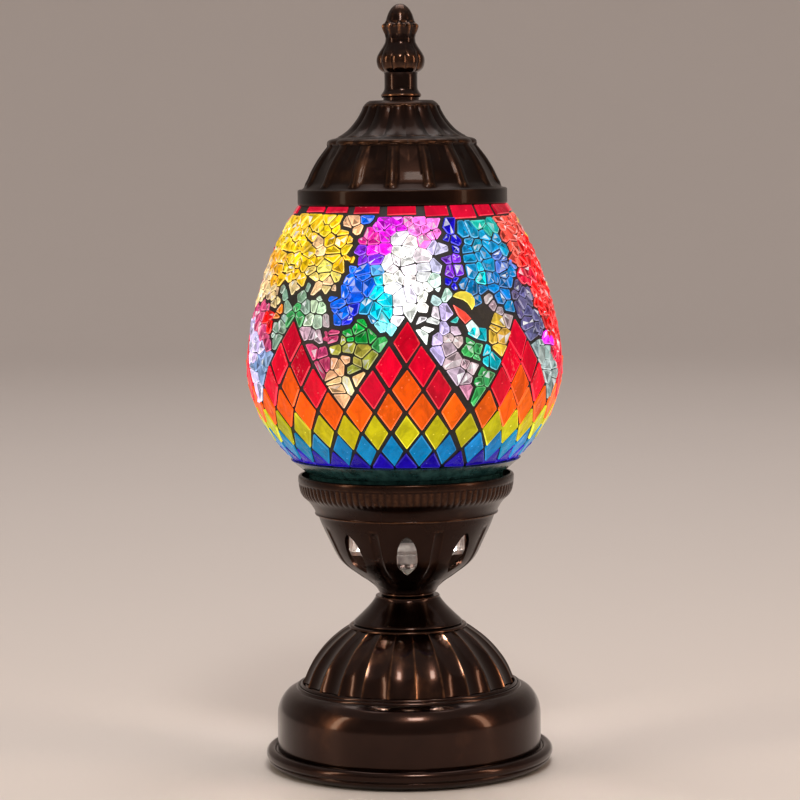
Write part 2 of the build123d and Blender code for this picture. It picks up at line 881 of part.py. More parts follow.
rim_height = tile_top - rim_tile_height / 2 - 0.8
rim_angle = 360 / rim_tile_count
rim_half = pi * egg_radius(rim_height + rim_tile_height / 2) / rim_tile_count - tile_gap / 2
rim_outline = [
    (rim_half, -rim_tile_height / 2),
    (rim_half, rim_tile_height / 2),
    (-rim_half, rim_tile_height / 2),
    (-rim_half, -rim_tile_height / 2),
]
rim_places = [i * rim_angle for i in range(rim_tile_count)]
write(lay_tiles([(rim_height, rim_places, rim_outline)]), "rim_tiles")

# one panel of cracked glass over each valley of the lattice
panel_foot = climb(row_height[4], tile_gap)
panel_top = rim_height - rim_tile_height / 2 - tile_gap
wedge_top = climb(row_height[6], row_pitch) + 1.5 * tile_gap
wedge_half = (wedge_top - panel_foot + 8.0) * 0.78
crackle_band = egg_band(panel_foot, panel_top, 0.0, tile_thickness - thread_gap)
with BuildPart() as crackle_glass:
    add(crackle_band)
    with BuildSketch(*[facing(angle, shade_radius / 2, 0) for angle in peaks]):
        Polygon(
            (-wedge_half, panel_foot - 8.0),
            (wedge_half, panel_foot - 8.0),
            (0, wedge_top),
            align=None,
        )
        with Locations((0, (wedge_top + glass_top) / 2 - 2.0)):
            Rectangle(tile_gap, glass_top - wedge_top + 6.0)
    extrude(amount=shade_radius, mode=Mode.SUBTRACT)
write(crackle_glass.part, "crackle_glass")

# ------------------------------------------------------------- cap
lobe_foot = (cap_rim_radius - 2.8, cap_step)
lobe_top = (cap_rim_radius - 12.8, cap_step + 17.0)
lobe_shape = [(0, 0), (0.2, 0.2), (0.38, 0.45), (0.62, 0.7), (1, 1)]
lobe_curve = stretch(lobe_shape, lobe_foot, lobe_top)
bell_foot = (lobe_top[0] - 3.2, lobe_top[1] + 4.0)
bell_top = (cap_plateau_radius + 2.9, cap_top - 2.2)
bell_shape = [(0, 0), (0.26, 0.1), (0.5, 0.26), (0.78, 0.58), (1, 1)]
bell_curve = stretch(bell_shape, bell_foot, bell_top)
lobe_width = 2 * pi / cap_lobe_count
with BuildPart() as cap:
    with BuildSketch(Plane.XY.offset(cap_bottom)):
        Circle(cap_rim_radius)
    extrude(amount=cap_rim_height)
    loft(
        sections=[
            scalloped(r, 0.11 * r * lobe_width, cap_lobe_count, z) for r, z in lobe_curve
        ]
    )
    with BuildSketch(Plane.XY.offset(lobe_top[1])):
        Circle(lobe_top[0])
    with BuildSketch(Plane.XY.offset(bell_foot[1])):
        Circle(bell_foot[0] + 0.6)
    loft()
    loft(
        sections=[
            scalloped(r, 0.1 * r * lobe_width, cap_lobe_count, z) for r, z in bell_curve
        ]
    )
    with BuildSketch(Plane.XY.offset(bell_top[1])):
        Circle(bell_top[0] - 0.6)
    with BuildSketch(Plane.XY.offset(cap_top)):
        Circle(cap_plateau_radius)
    loft()
    hollow = [
        (lobe_foot[0] - 4.6, cap_step - 1.2),
        (lobe_curve[2][0] - 4.4, lobe_curve[2][1]),
        (lobe_top[0] - 3.8, lobe_top[1] - 1.0),
        (bell_curve[2][0] - 3.4, bell_curve[2][1] - 0.6),
        (bell_top[0] - 4.4, bell_top[1] - 2.4),
    ]
    with BuildSketch(Plane.XZ):
        with BuildLine():
            Polyline(
                (0, cap_bottom),
                (cap_inner_rim, cap_bottom),
                (cap_inner_rim, cap_seat),
                (hollow[0][0], cap_seat),
                hollow[0],
            )
            Spline(*hollow)
            Polyline(hollow[-1], (0, hollow[-1][1]), (0, cap_bottom))
        make_face()
    revolve(axis=Axis.Z, mode=Mode.SUBTRACT)
    with BuildSketch(Plane.XY.offset(cap_top)):
        Circle(stud_radius + 0.6)
    extrude(amount=-cap_wall - 6.0, mode=Mode.SUBTRACT)
write(cap.part, "cap")

write(
    flat_rings(cap_inner_rim - 2 * clearance, hollow[0][0], [(glass_top, cap_seat)]),
    "cap_gasket",
)

# ------------------------------------------------------------- finial
write(
    flat_rings(finial_foot_radius - 1.0, stud_radius + thread_gap, [(cap_top, finial_base)]),
    "finial_washer",
)

finial_shape = [
    (finial_foot_radius, 0),
    (finial_foot_radius, 1.4),
    (finial_stem_radius, 3.2),
    (finial_stem_radius, 10.0),
    (0.87 * finial_bulb_radius, 13.0),
    (finial_bulb_radius, 16.2),
    (0.83 * finial_bulb_radius, 20.2),
    (0.6 * finial_bulb_radius, 24.6),
    (0.8 * finial_bulb_radius, 30.0),
    (0.56 * finial_bulb_radius, 33.4),
    (0.36 * finial_bulb_radius, 37.2),
    (0, finial_height - washer_thickness),
]
finial_curve = [(r, finial_base + z) for r, z in finial_shape]
with BuildPart() as finial:
    with BuildSketch(Plane.XZ):
        with BuildLine():
            Polyline(
                (0, finial_base + finial_bore_depth),
                (stud_radius + thread_gap, finial_base + finial_bore_depth),
                (stud_radius + thread_gap, finial_base),
                *finial_curve[:4],
            )
            Spline(*finial_curve[3:8])
            Spline(*finial_curve[7:11])
            Polyline(finial_curve[10], finial_curve[11], (0, finial_base + finial_bore_depth))
        make_face()
    revolve(axis=Axis.Z)
write(finial.part, "finial")

print("glass seat", glass_foot, "glass top", glass_top, "top", finial_curve[-1][1])
print("rows", [round(height, 1) for height in row_height], "waist", waist_height)
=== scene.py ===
import math
import random

import bmesh
import bpy
from mathutils import Matrix, Vector, kdtree


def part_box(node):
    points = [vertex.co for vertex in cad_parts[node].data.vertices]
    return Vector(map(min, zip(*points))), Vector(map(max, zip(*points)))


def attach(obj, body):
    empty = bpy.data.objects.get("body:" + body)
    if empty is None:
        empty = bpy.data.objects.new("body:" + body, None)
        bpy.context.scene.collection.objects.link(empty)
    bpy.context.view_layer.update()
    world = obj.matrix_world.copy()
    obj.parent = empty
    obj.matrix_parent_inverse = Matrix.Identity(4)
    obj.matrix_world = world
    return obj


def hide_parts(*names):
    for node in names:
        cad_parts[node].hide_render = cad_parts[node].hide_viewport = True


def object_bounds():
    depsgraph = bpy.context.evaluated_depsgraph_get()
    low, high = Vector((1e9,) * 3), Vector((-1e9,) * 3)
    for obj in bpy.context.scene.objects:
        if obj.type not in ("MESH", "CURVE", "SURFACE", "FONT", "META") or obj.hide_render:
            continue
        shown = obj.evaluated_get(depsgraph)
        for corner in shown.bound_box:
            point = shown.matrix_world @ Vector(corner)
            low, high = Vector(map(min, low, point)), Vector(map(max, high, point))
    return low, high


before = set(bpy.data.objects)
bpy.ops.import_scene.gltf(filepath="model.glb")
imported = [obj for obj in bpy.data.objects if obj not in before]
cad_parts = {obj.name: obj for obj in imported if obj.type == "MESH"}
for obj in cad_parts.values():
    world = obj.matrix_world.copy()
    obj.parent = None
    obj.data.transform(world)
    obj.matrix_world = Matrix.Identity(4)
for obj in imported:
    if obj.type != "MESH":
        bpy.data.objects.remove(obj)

bl_info = {
    "name": "Mosaic Glass Table Lamp",
    "version": (1, 0, 0),
    "blender": (4, 5, 0),
    "location": "3D View > Sidebar > Lamp",
    "description": "Dresses the lamp's packed model with spun metal, mosaic glass and grout",
    "category": "Add Mesh",
}

MM = 0.001
cad_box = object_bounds()
top_of_lamp = cad_box[1].z / MM


# ------------------------------------------------------------- sizes and colours
def colour_setting(name, about, default):
    """Property that holds a linear colour."""
    return bpy.props.FloatVectorProperty(
        name=name, description=about, subtype="COLOR", size=3, min=0.0, max=1.0, default=default,
    )


def length_setting(name, about, low, high, default):
    """Property that holds a length in metres."""
    return bpy.props.FloatProperty(
        name=name, description=about, subtype="DISTANCE", unit="LENGTH", min=low, max=high, default=default,
    )


class LampMetalSizes(bpy.types.PropertyGroup):
    bronze_colour: colour_setting("Bronze", "Reflection of the dark patina", (0.032, 0.0145, 0.01))
    # worn copper on the edges, also used as a painted warm highlight on ridges and arrises
    copper_wear_and_highlight_colour: colour_setting(
        "Worn Copper", "Metal that shows where the patina is rubbed off", (0.34, 0.15, 0.07)
    )
    polish: bpy.props.FloatProperty(
        name="Roughness", description="Roughness of the lacquered metal",
        subtype="FACTOR", min=0.05, max=0.8, default=0.19,
    )
    flute_depth: bpy.props.FloatProperty(
        name="Flute Depth", description="Depth of the dome's flutes as a share of their radius",
        subtype="FACTOR", min=0.0, max=0.1, default=0.036,
    )


class LampGlassSizes(bpy.types.PropertyGroup):
    tile_gap: length_setting("Tile Gap", "Grout joint between the diamond tiles", 0.0005, 0.004, 0.00125)
    field_gap: length_setting(
        "Field Gap", "Grout joint between two fields of cracked glass", 0.0005, 0.004, 0.0013
    )
    crack_gap: length_setting(
        "Crack Gap", "Crack between two fragments of one field", 0.0001, 0.002, 0.00048
    )
    fragment: length_setting(
        "Fragment Size", "Usual width of a fragment of cracked glass", 0.003, 0.012, 0.0048
    )
    glow: bpy.props.FloatProperty(
        name="Glow", description="Light that the lit glass gives off", min=0.0, max=5.0, default=0.95,
    )
    red: colour_setting("Red", "Red tiles", (0.72, 0.0, 0.022))
    orange: colour_setting("Orange", "Orange tiles", (0.93, 0.105, 0.0))
    yellow: colour_setting("Yellow", "Yellow tiles", (0.56, 0.49, 0.003))
    turquoise: colour_setting("Turquoise", "Turquoise tiles", (0.0, 0.21, 0.46))
    cobalt: colour_setting("Cobalt", "Cobalt tiles", (0.012, 0.003, 0.33))
    rim: colour_setting("Rim Red", "Tiles under the cap", (0.72, 0.0, 0.03))


class LampStageSettings(bpy.types.PropertyGroup):
    floor_colour: colour_setting("Floor", "Colour of the floor and backdrop", (0.74, 0.69, 0.66))
    sky: bpy.props.FloatProperty(
        name="Sky", description="Strength of the soft light from all round",
        min=0.0, max=5.0, default=0.42,
    )
    key_power: bpy.props.FloatProperty(
        name="Key Light", description="Power that the soft boxes share",
        subtype="POWER", unit="POWER", min=0.0, max=200.0, default=9.0,
    )


# ------------------------------------------------------------- modelling helpers
def alone():
    """Leave edit mode with nothing selected."""
    if bpy.context.object and bpy.context.object.mode != "OBJECT":
        bpy.ops.object.mode_set(mode="OBJECT")
    bpy.ops.object.select_all(action="DESELECT")


def smooth_run(points, count):
    """Rounded run of points through given ones."""
    run = []
    for i in range(len(points) - 1):
        a = points[max(i - 1, 0)]
        b, c = points[i], points[i + 1]
        d = points[min(i + 2, len(points) - 1)]
        for k in range(count):
            s = k / count
            run.append(tuple(
                0.5 * (2 * q + (r - p) * s + (2 * p - 5 * q + 4 * r - t) * s * s
                       + (3 * q - p - 3 * r + t) * s ** 3)
                for p, q, r, t in zip(a, b, c, d)
            ))
    run.append(tuple(points[-1]))
    return run


def shaped(points, count, share=1.0):
    """Rounded run whose points all take the same share of the relief."""
    return [(r, z, share) for r, z in smooth_run(points, count)]


def plain(*points):
    """Points that no relief moves."""
    return [(r, z, 0.0) for r, z in points]


def spun(name, outline, steps, relief=None, closed=True, crease=35.0):
    """Turned piece from an outline of (radius, height, share of relief)."""
    alone()
    bpy.ops.mesh.primitive_circle_add(vertices=len(outline), radius=0.01)
    piece = bpy.context.object
    piece.name = name
    for vertex, (r, z, _) in zip(piece.data.vertices, outline):
        vertex.co = (0.0, -r * MM, z * MM)
    bpy.ops.object.mode_set(mode="EDIT")
    if not closed:
        shape = bmesh.from_edit_mesh(piece.data)
        last = len(outline) - 1
        for edge in shape.edges:
            edge.select = {v.index for v in edge.verts} == {0, last}
        bmesh.update_edit_mesh(piece.data)
        bpy.ops.mesh.delete(type="EDGE")
    bpy.ops.mesh.select_all(action="SELECT")
    bpy.ops.mesh.spin(steps=steps, angle=2 * math.pi, center=(0, 0, 0), axis=(0, 0, 1))
    bpy.ops.mesh.select_all(action="SELECT")
    bpy.ops.mesh.remove_doubles(threshold=0.000002)
    bpy.ops.mesh.normals_make_consistent(inside=False)
    bpy.ops.object.mode_set(mode="OBJECT")
    if relief:
        finder = kdtree.KDTree(len(outline))
        for i, (r, z, _) in enumerate(outline):
            finder.insert((r, z, 0.0), i)
        finder.balance()
        for vertex in piece.data.vertices:
            x, y, z = vertex.co
            radius = math.hypot(x, y)
            share = outline[finder.find((radius / MM, z / MM, 0.0))[1]][2]
            if share and radius > 1e-6:
                angle = math.degrees(math.atan2(x, -y))
                grow = 1.0 + share * relief(angle, radius / MM, z / MM) * MM / radius
                vertex.co = (x * grow, y * grow, z)
    bpy.ops.object.shade_smooth_by_angle(angle=math.radians(crease))
    mark_wear_and_highlight(piece)
    return piece


def mark_wear_and_highlight(piece):
    """Store how proud each point stands, for rubbed edges that also carry painted highlights."""
    shape = bmesh.new()
    shape.from_mesh(piece.data)
    shape.normal_update()
    raised = []
    for vertex in shape.verts:
        near = [edge.other_vert(vertex).co for edge in vertex.link_edges]
        middle = sum(near, Vector()) / max(len(near), 1)
        reach = sum((co - vertex.co).length_squared for co in near) / max(len(near), 1)
        bend = 2 * (vertex.co - middle).dot(vertex.normal) / max(reach, 1e-10)
        raised.append(min(max((bend - 70) / 600, 0.0), 1.0))
    shape.free()
    stored = piece.data.attributes.new("edge_wear", "FLOAT", "POINT")
    stored.data.foreach_set("value", raised)


def apply_all(piece):
    """Apply every modifier of a piece in order."""
    alone()
    piece.select_set(True)
    bpy.context.view_layer.objects.active = piece
    for modifier in list(piece.modifiers):
        bpy.ops.object.modifier_apply(modifier=modifier.name)


def wear_finish(piece, finish, body, slot, *nodes):
    """Give a finished piece its material and body, and hide the nodes it stands for; the slot is not used."""
    piece.data.materials.clear()
    piece.data.materials.append(finish)
    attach(piece, body)
    if nodes:
        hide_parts(*nodes)


def give(finish, *nodes):
    """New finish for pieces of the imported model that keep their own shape."""
    for name in nodes:
        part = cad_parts[name]
        if part.material_slots:
            for place in part.material_slots:
                place.material = finish
        else:
            part.data.materials.append(finish)


# ------------------------------------------------------------- egg of the shade
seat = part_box("glass_globe")[0].z / MM
waist = seat + 51.8
belly = 65.2
lower_reach, lower_power = 58.8, 1.85
upper_reach, upper_power = 94.7, 1.6
slimmed, slim_reach = 1.4, 37.6
foot_of_tiles = seat + 14.2
crown_of_tiles = seat + 117.7
row = 9.3
tiles_round = 32
peaks = 8
tile_turn = 360 / tiles_round
peak_turn = 360 / peaks
climb_step = 0.25


def egg_radius(height):
    """Radius over the tiles' faces at a height."""
    if height < waist:
        slim = slimmed * ((waist - height) / slim_reach) ** 3
        return belly * math.sqrt(1 - ((waist - height) / lower_reach) ** lower_power) - slim
    return belly * math.sqrt(1 - ((height - waist) / upper_reach) ** upper_power)


def egg_lean(height):
    """Angle of the outward normal above the level, in radians."""
    return math.atan2(egg_radius(height - 0.2) - egg_radius(height + 0.2), 0.4)


climb_table = [(foot_of_tiles, 0.0)]
while climb_table[-1][0] < crown_of_tiles + 2:
    height, walked = climb_table[-1]
    climb_table.append(
        (height + climb_step, walked + climb_step / math.cos(egg_lean(height + climb_step / 2)))
    )


def height_at(walked):
    """Height after a walk up the side from the first row of tiles."""
    i = min(max(int(walked / climb_step * 0.6), 0), len(climb_table) - 2)
    while i > 0 and climb_table[i][1] > walked:
        i -= 1
    while i < len(climb_table) - 2 and climb_table[i + 1][1] < walked:
        i += 1
    (z0, s0), (z1, s1) = climb_table[i], climb_table[i + 1]
    return z0 + (z1 - z0) * (walked - s0) / (s1 - s0)


def walk_to(height):
    """Walk up the side that reaches a height."""
    i = min(max(int((height - foot_of_tiles) / climb_step), 0), len(climb_table) - 2)
    (z0, s0), (z1, s1) = climb_table[i], climb_table[i + 1]
    return s0 + (s1 - s0) * (height - z0) / (z1 - z0)


def from_front(angle):
    """Angle brought between -180 and 180 degrees."""
    return (angle + 180) % 360 - 180


def drift(angle):
    """How far the hand-laid lattice strays sideways, in degrees."""
    here = from_front(angle)
    return sum(
        height * math.exp(-((here - middle) / width) ** 2)
        for height, middle, width in ((0.7, 4, 10), (3.0, 30, 11), (-1.0, 61, 7))
    )


def lay(outline, angle, height, sink=0.0, tilt=(0.0, 0.0), turn=0.0, hug=0.0):
    """Corners of a chip laid tangent to the egg, or bent to hug it, in metres."""
    a = math.radians(angle)
    lean = egg_lean(height)
    out = Vector((math.cos(lean) * math.sin(a), -math.cos(lean) * math.cos(a), math.sin(lean)))
    across = Vector((math.cos(a), math.sin(a), 0.0))
    up = out.cross(across)
    r = egg_radius(height)
    middle = Vector((r * math.sin(a), -r * math.cos(a), height)) - out * sink
    c, s = math.cos(turn), math.sin(turn)
    corners = []
    for x, y in outline:
        x, y = c * x - s * y, s * x + c * y
        corner = middle + across * x + up * y + out * (tilt[0] * x + tilt[1] * y)
        if hug:
            wide = math.hypot(corner.x, corner.y)
            grow = 1 + hug * (egg_radius(corner.z) - sink / math.cos(lean) - wide) / wide
            corner = Vector((corner.x * grow, corner.y * grow, corner.z))
        corners.append(corner * MM)
    return corners


def clip(outline, nx, ny, limit):
    """Part of a flat outline on the near side of a line."""
    kept = []
    for (ax, ay), (bx, by) in zip(outline, outline[1:] + outline[:1]):
        before = ax * nx + ay * ny - limit
        after = bx * nx + by * ny - limit
        if before <= 0:
            kept.append((ax, ay))
        if (before < 0) != (after < 0):
            share = before / (before - after)
            kept.append((ax + (bx - ax) * share, ay + (by - ay) * share))
    return kept


def tidy_outline(outline, shortest):
    """Outline without edges shorter than a length."""
    kept = []
    for point in outline:
        if not kept or math.dist(point, kept[-1]) > shortest:
            kept.append(point)
    while len(kept) > 2 and math.dist(kept[0], kept[-1]) <= shortest:
        kept.pop()
    return kept


def round_corners(outline):
    """Outline with its sharper corners cut off."""
    kept = []
    for i, (x, y) in enumerate(outline):
        (ax, ay), (bx, by) = outline[i - 1], outline[(i + 1) % len(outline)]
        before, after = math.dist((x, y), (ax, ay)), math.dist((x, y), (bx, by))
        bend = ((ax - x) * (bx - x) + (ay - y) * (by - y)) / max(before * after, 1e-6)
        if bend > -0.45:
            for px, py, far in ((ax, ay, before), (bx, by, after)):
                share = min(0.45 / far, 0.22)
                kept.append((x + (px - x) * share, y + (py - y) * share))
        else:
            kept.append((x, y))
    return kept


def area_of(outline):
    """Area of a flat outline."""
    return 0.5 * abs(sum(
        ax * by - bx * ay for (ax, ay), (bx, by) in zip(outline, outline[1:] + outline[:1])
    ))


def chips(name, flats, edge=0.35, crown=0.22, thickness=1.5, facets=0.0):
    """Glass chips from flat (corners, tint) faces, with chamfered edges that carry painted glints.

    With facets, each chip's face is broken into a low uneven crown whose facets are lighter or darker at random,
    some mixed toward white as painted glints.
    """
    corners, faces = [], []
    for outline, _ in flats:
        faces.append(range(len(corners), len(corners) + len(outline)))
        corners.extend(outline)
    mesh = bpy.data.meshes.new(name)
    mesh.from_pydata(corners, [], [tuple(face) for face in faces])
    tints = mesh.attributes.new("tint", "FLOAT_COLOR", "FACE")
    for i, (_, tint) in enumerate(flats):
        tints.data[i].color = (*tint, 1.0)
    piece = bpy.data.objects.new(name, mesh)
    bpy.context.scene.collection.objects.link(piece)
    alone()
    piece.select_set(True)
    bpy.context.view_layer.objects.active = piece
    bpy.ops.object.mode_set(mode="EDIT")
    bpy.ops.mesh.select_mode(type="FACE")
    bpy.ops.mesh.select_all(action="SELECT")
    bpy.ops.mesh.inset(thickness=edge * MM, depth=crown * MM, use_individual=True)
    bpy.ops.object.mode_set(mode="OBJECT")
    dice = random.Random(len(flats))
    glint_white = 0.95
    # rim: a painted glint on each chamfer face, strong on faces that point down and faint on the rest; the chip's
    # own face gets none
    edges = mesh.attributes.new("rim", "FLOAT", "FACE")
    for face in mesh.polygons:
        faces_down = face.normal.z < math.sin(egg_lean(face.center.z / MM)) - 0.1
        edge_glint = 0.3 + 0.9 * dice.random() if faces_down else 0.05 + 0.5 * dice.random() ** 3
        edges.data[face.index].value = 0.0 if face.select else edge_glint
    if facets:
        bpy.ops.object.mode_set(mode="EDIT")
        bpy.ops.mesh.poke(offset=facets * MM, center_mode="MEDIAN_WEIGHTED")
        bpy.ops.object.mode_set(mode="OBJECT")
        tints, edges = mesh.attributes["tint"], mesh.attributes["rim"]
        for face in mesh.polygons:
            if edges.data[face.index].value == 0.0:
                # random lighter and darker facets; about one in seven is mixed toward white as a painted glint
                light = dice.choice((0.45, 0.7, 0.85, 1.0, 1.05, 1.2, 1.5))
                tint = tints.data[face.index].color
                painted_glint = dice.choice((0.3, 0.6, 0.85)) if dice.random() < 0.14 else 0.0
                mixed = [c * light * (1 - painted_glint) + glint_white * painted_glint for c in tint[:3]]
                tints.data[face.index].color = (*mixed, 1.0)
    wall = piece.modifiers.new("thickness", "SOLIDIFY")
    wall.thickness = thickness * MM
    wall.offset = -1
    apply_all(piece)
    return piece


# ------------------------------------------------------------- materials
def add(tree, kind, inputs=None, **settings):
    """New node with its settings and its inputs set or linked."""
    made = tree.nodes.new(kind)
    for key, value in settings.items():
        setattr(made, key, value)
    for key, value in (inputs or {}).items():
        if isinstance(value, bpy.types.NodeSocket):
            tree.links.new(value, made.inputs[key])
        else:
            made.inputs[key].default_value = value
    return made


def new_group(name, inputs, outputs):
    """Empty node group with named sockets."""
    group = bpy.data.node_groups.new(name, "ShaderNodeTree")
    for label, kind, default in inputs:
        socket = group.interface.new_socket(name=label, in_out="INPUT", socket_type=kind)
        if default is not None:
            socket.default_value = default
    for label, kind in outputs:
        group.interface.new_socket(name=label, in_out="OUTPUT", socket_type=kind)
    return group, group.nodes.new("NodeGroupInput"), group.nodes.new("NodeGroupOutput")


def ramp(tree, value, low, high, to_low=0.0, to_high=1.0):
    """Value brought from one range to another."""
    return add(tree, "ShaderNodeMapRange", {
        "Value": value, "From Min": low, "From Max": high, "To Min": to_low, "To Max": to_high,
    }).outputs[0]


def own_place(tree):
    """Place of each point in its own object."""
    return add(tree, "ShaderNodeTexCoord").outputs["Object"]


def noise(tree, place, scale, detail, **others):
    """Noise over the surface."""
    values = {"Vector": place, "Scale": scale, "Detail": detail, **others}
    return add(tree, "ShaderNodeTexNoise", values).outputs["Fac"]


def math_node(tree, operation, a, b):
    """Result of one sum on two values."""
    return add(tree, "ShaderNodeMath", {0: a, 1: b}, operation=operation).outputs[0]


def mix_colour(tree, share, a, b, blend="MIX"):
    """Blend of two colours."""
    made = add(tree, "ShaderNodeMix", data_type="RGBA", blend_type=blend)
    for index, value in ((0, share), (6, a), (7, b)):
        if isinstance(value, bpy.types.NodeSocket):
            tree.links.new(value, made.inputs[index])
        else:
            made.inputs[index].default_value = value
    return made.outputs[2]


def rubbed_and_highlit_edges_group():
    """Mask of rubbed copper edges that also serve as painted highlights on ridges: the stored edge values broken up
    by noise, and stray rubbed spots.
    """
    group, given, result = new_group(
        "Rubbed Edges",
        [("Amount", "NodeSocketFloat", 1.0), ("Spots", "NodeSocketFloat", 0.2)],
        [("Mask", "NodeSocketFloat"), ("Cloud", "NodeSocketFloat")],
    )
    place = own_place(group)
    stored = add(group, "ShaderNodeAttribute", attribute_name="edge_wear").outputs["Fac"]
    fine = noise(group, place, 420.0, 5.0, Roughness=0.65)
    broad = noise(group, place, 38.0, 4.0, Roughness=0.6)
    broken = math_node(group, "MULTIPLY", stored, ramp(group, fine, 0.3, 0.6))
    rubbed = math_node(group, "MULTIPLY", broken, given.outputs["Amount"])
    spots = math_node(group, "MULTIPLY", ramp(group, broad, 0.6, 0.78), given.outputs["Spots"])
    total = add(group, "ShaderNodeMath", {0: rubbed, 1: spots}, operation="MAXIMUM", use_clamp=True)
    group.links.new(total.outputs[0], result.inputs["Mask"])
    group.links.new(broad, result.inputs["Cloud"])
    return group


def cast_grain_group():
    """Normal of a cast and lacquered skin: fine grain over soft hand-worked waves."""
    group, given, result = new_group(
        "Cast Grain",
        [("Grain", "NodeSocketFloat", 900.0), ("Depth", "NodeSocketFloat", 0.15)],
        [("Normal", "NodeSocketVector")],
    )
    place = own_place(group)
    fine = noise(group, place, given.outputs["Grain"], 3.0)
    waves = noise(group, place, 90.0, 2.0)
    height = math_node(group, "ADD", math_node(group, "MULTIPLY", fine, 0.25), waves)
    bump = add(group, "ShaderNodeBump", {"Strength": given.outputs["Depth"], "Distance": 0.0006, "Height": height})
    group.links.new(bump.outputs[0], result.inputs["Normal"])
    return group


def glass_ripple_group():
    """Hand-rolled glass: streaks of lighter and darker colour, seeds, and a rippled skin."""
    group, given, result = new_group(
        "Rolled Glass",
        [("Scale", "NodeSocketFloat", 110.0), ("Ripple", "NodeSocketFloat", 0.3)],
        [("Streaks", "NodeSocketFloat"), ("Seeds", "NodeSocketFloat"), ("Normal", "NodeSocketVector")],
    )
    place = own_place(group)
    bubbles = add(group, "ShaderNodeTexVoronoi", {"Vector": place, "Scale": 330.0}).outputs["Distance"]
    group.links.new(ramp(group, bubbles, 0.13, 0.06), result.inputs["Seeds"])
    turned = add(group, "ShaderNodeMapping", {"Vector": place, "Scale": (1.0, 1.0, 0.45)}).outputs[0]
    streaks = noise(group, turned, given.outputs["Scale"], 5.0, Roughness=0.62, Distortion=0.9)
    ripple = noise(group, place, 260.0, 2.0)
    bump = add(group, "ShaderNodeBump", {"Strength": given.outputs["Ripple"], "Distance": 0.0008, "Height": ripple})
    group.links.new(ramp(group, streaks, 0.3, 0.7), result.inputs["Streaks"])
    group.links.new(bump.outputs[0], result.inputs["Normal"])
    return group


groups = {}


def use(tree, name, **inputs):
    """Shared effect placed in a material with its own values."""
    builders = {
        "rubbed": rubbed_and_highlit_edges_group, "grain": cast_grain_group, "rolled": glass_ripple_group,
    }
    if name not in groups:
        groups[name] = builders[name]()
    made = tree.nodes.new("ShaderNodeGroup")
    made.node_tree = groups[name]
    for key, value in inputs.items():
        made.inputs[key.capitalize()].default_value = value
    return made


def new_material(name, **plain_values):
    """Material with one Principled shader and its constant sockets."""
    made = bpy.data.materials.new(name)
    made.use_nodes = True
    tree = made.node_tree
    shader = tree.nodes["Principled BSDF"]
    for key, value in plain_values.items():
        shader.inputs[key.replace("_", " ")].default_value = value
    return made, tree, shader


def bronze(name, spots=0.15, depth=0.12, wear=0.9, dull=1.0, shade=1.0, coat=0.25):
    """Dark lacquered bronze, rubbed to copper on its edges; the copper on ridges and arrises is also a painted
    highlight.
    """
    metal = bpy.context.scene.lamp_metal
    made, tree, shader = new_material(name, Metallic=1.0, Coat_Weight=coat)
    shader.inputs["Coat Roughness"].default_value = 0.08
    rubbed = use(tree, "rubbed", amount=wear, spots=spots)
    # shade gives the cup, cap and finial darker copies of the same bronze: painted shade
    brown = [c * shade for c in metal.bronze_colour]
    darker, paler = [0.45 * c for c in brown], [1.5 * c for c in brown]
    dark = mix_colour(tree, rubbed.outputs["Cloud"], (*darker, 1), (*paler, 1))
    colour = mix_colour(tree, rubbed.outputs["Mask"], dark, (*metal.copper_wear_and_highlight_colour, 1))
    tree.links.new(colour, shader.inputs["Base Color"])
    matt = metal.polish * dull
    rough = ramp(tree, rubbed.outputs["Cloud"], 0.3, 0.7, matt * 0.8, matt * 1.35)
    tree.links.new(rough, shader.inputs["Roughness"])
    grain = use(tree, "grain", grain=1100.0, depth=depth)
    tree.links.new(grain.outputs[0], shader.inputs["Normal"])
    return made


def lit_glass(name, roughness, streaks, ripple=0.3, dark=0.62, light=1.25, edge=0.08):
    """Stained glass with the lamp alight behind it, with painted glints along its chamfered edges and at its seeds.
    """
    made, tree, shader = new_material(name, Roughness=roughness, Specular_IOR_Level=0.16)
    rolled = use(tree, "rolled", scale=streaks, ripple=ripple)
    colour = add(tree, "ShaderNodeAttribute", attribute_name="tint").outputs["Color"]
    rim = add(tree, "ShaderNodeAttribute", attribute_name="rim").outputs["Fac"]
    shade = ramp(tree, rolled.outputs["Streaks"], 0.0, 1.0, dark, light)
    grey = add(tree, "ShaderNodeCombineColor", {0: shade, 1: shade, 2: shade}).outputs[0]
    streaked = mix_colour(tree, 1.0, colour, grey, "MULTIPLY")
    # a lifted, whitened copy of the colour: the painted glint shown where rim marks an edge and at the seeds
    glint_colour = mix_colour(tree, 1.0, streaked, (2.1, 2.1, 2.1, 1), "MULTIPLY")
    glint_colour = mix_colour(tree, edge, glint_colour, (0.95, 0.9, 0.85, 1))
    painted_glint = mix_colour(tree, rim, streaked, glint_colour)
    lit = mix_colour(tree, rolled.outputs["Seeds"], painted_glint, glint_colour)
    deep = mix_colour(tree, 1.0, streaked, (0.12, 0.12, 0.12, 1), "MULTIPLY")
    tree.links.new(deep, shader.inputs["Base Color"])
    tree.links.new(lit, shader.inputs["Emission Color"])
    shader.inputs["Emission Strength"].default_value = bpy.context.scene.lamp_glass.glow
    tree.links.new(rolled.outputs["Normal"], shader.inputs["Normal"])
    return made


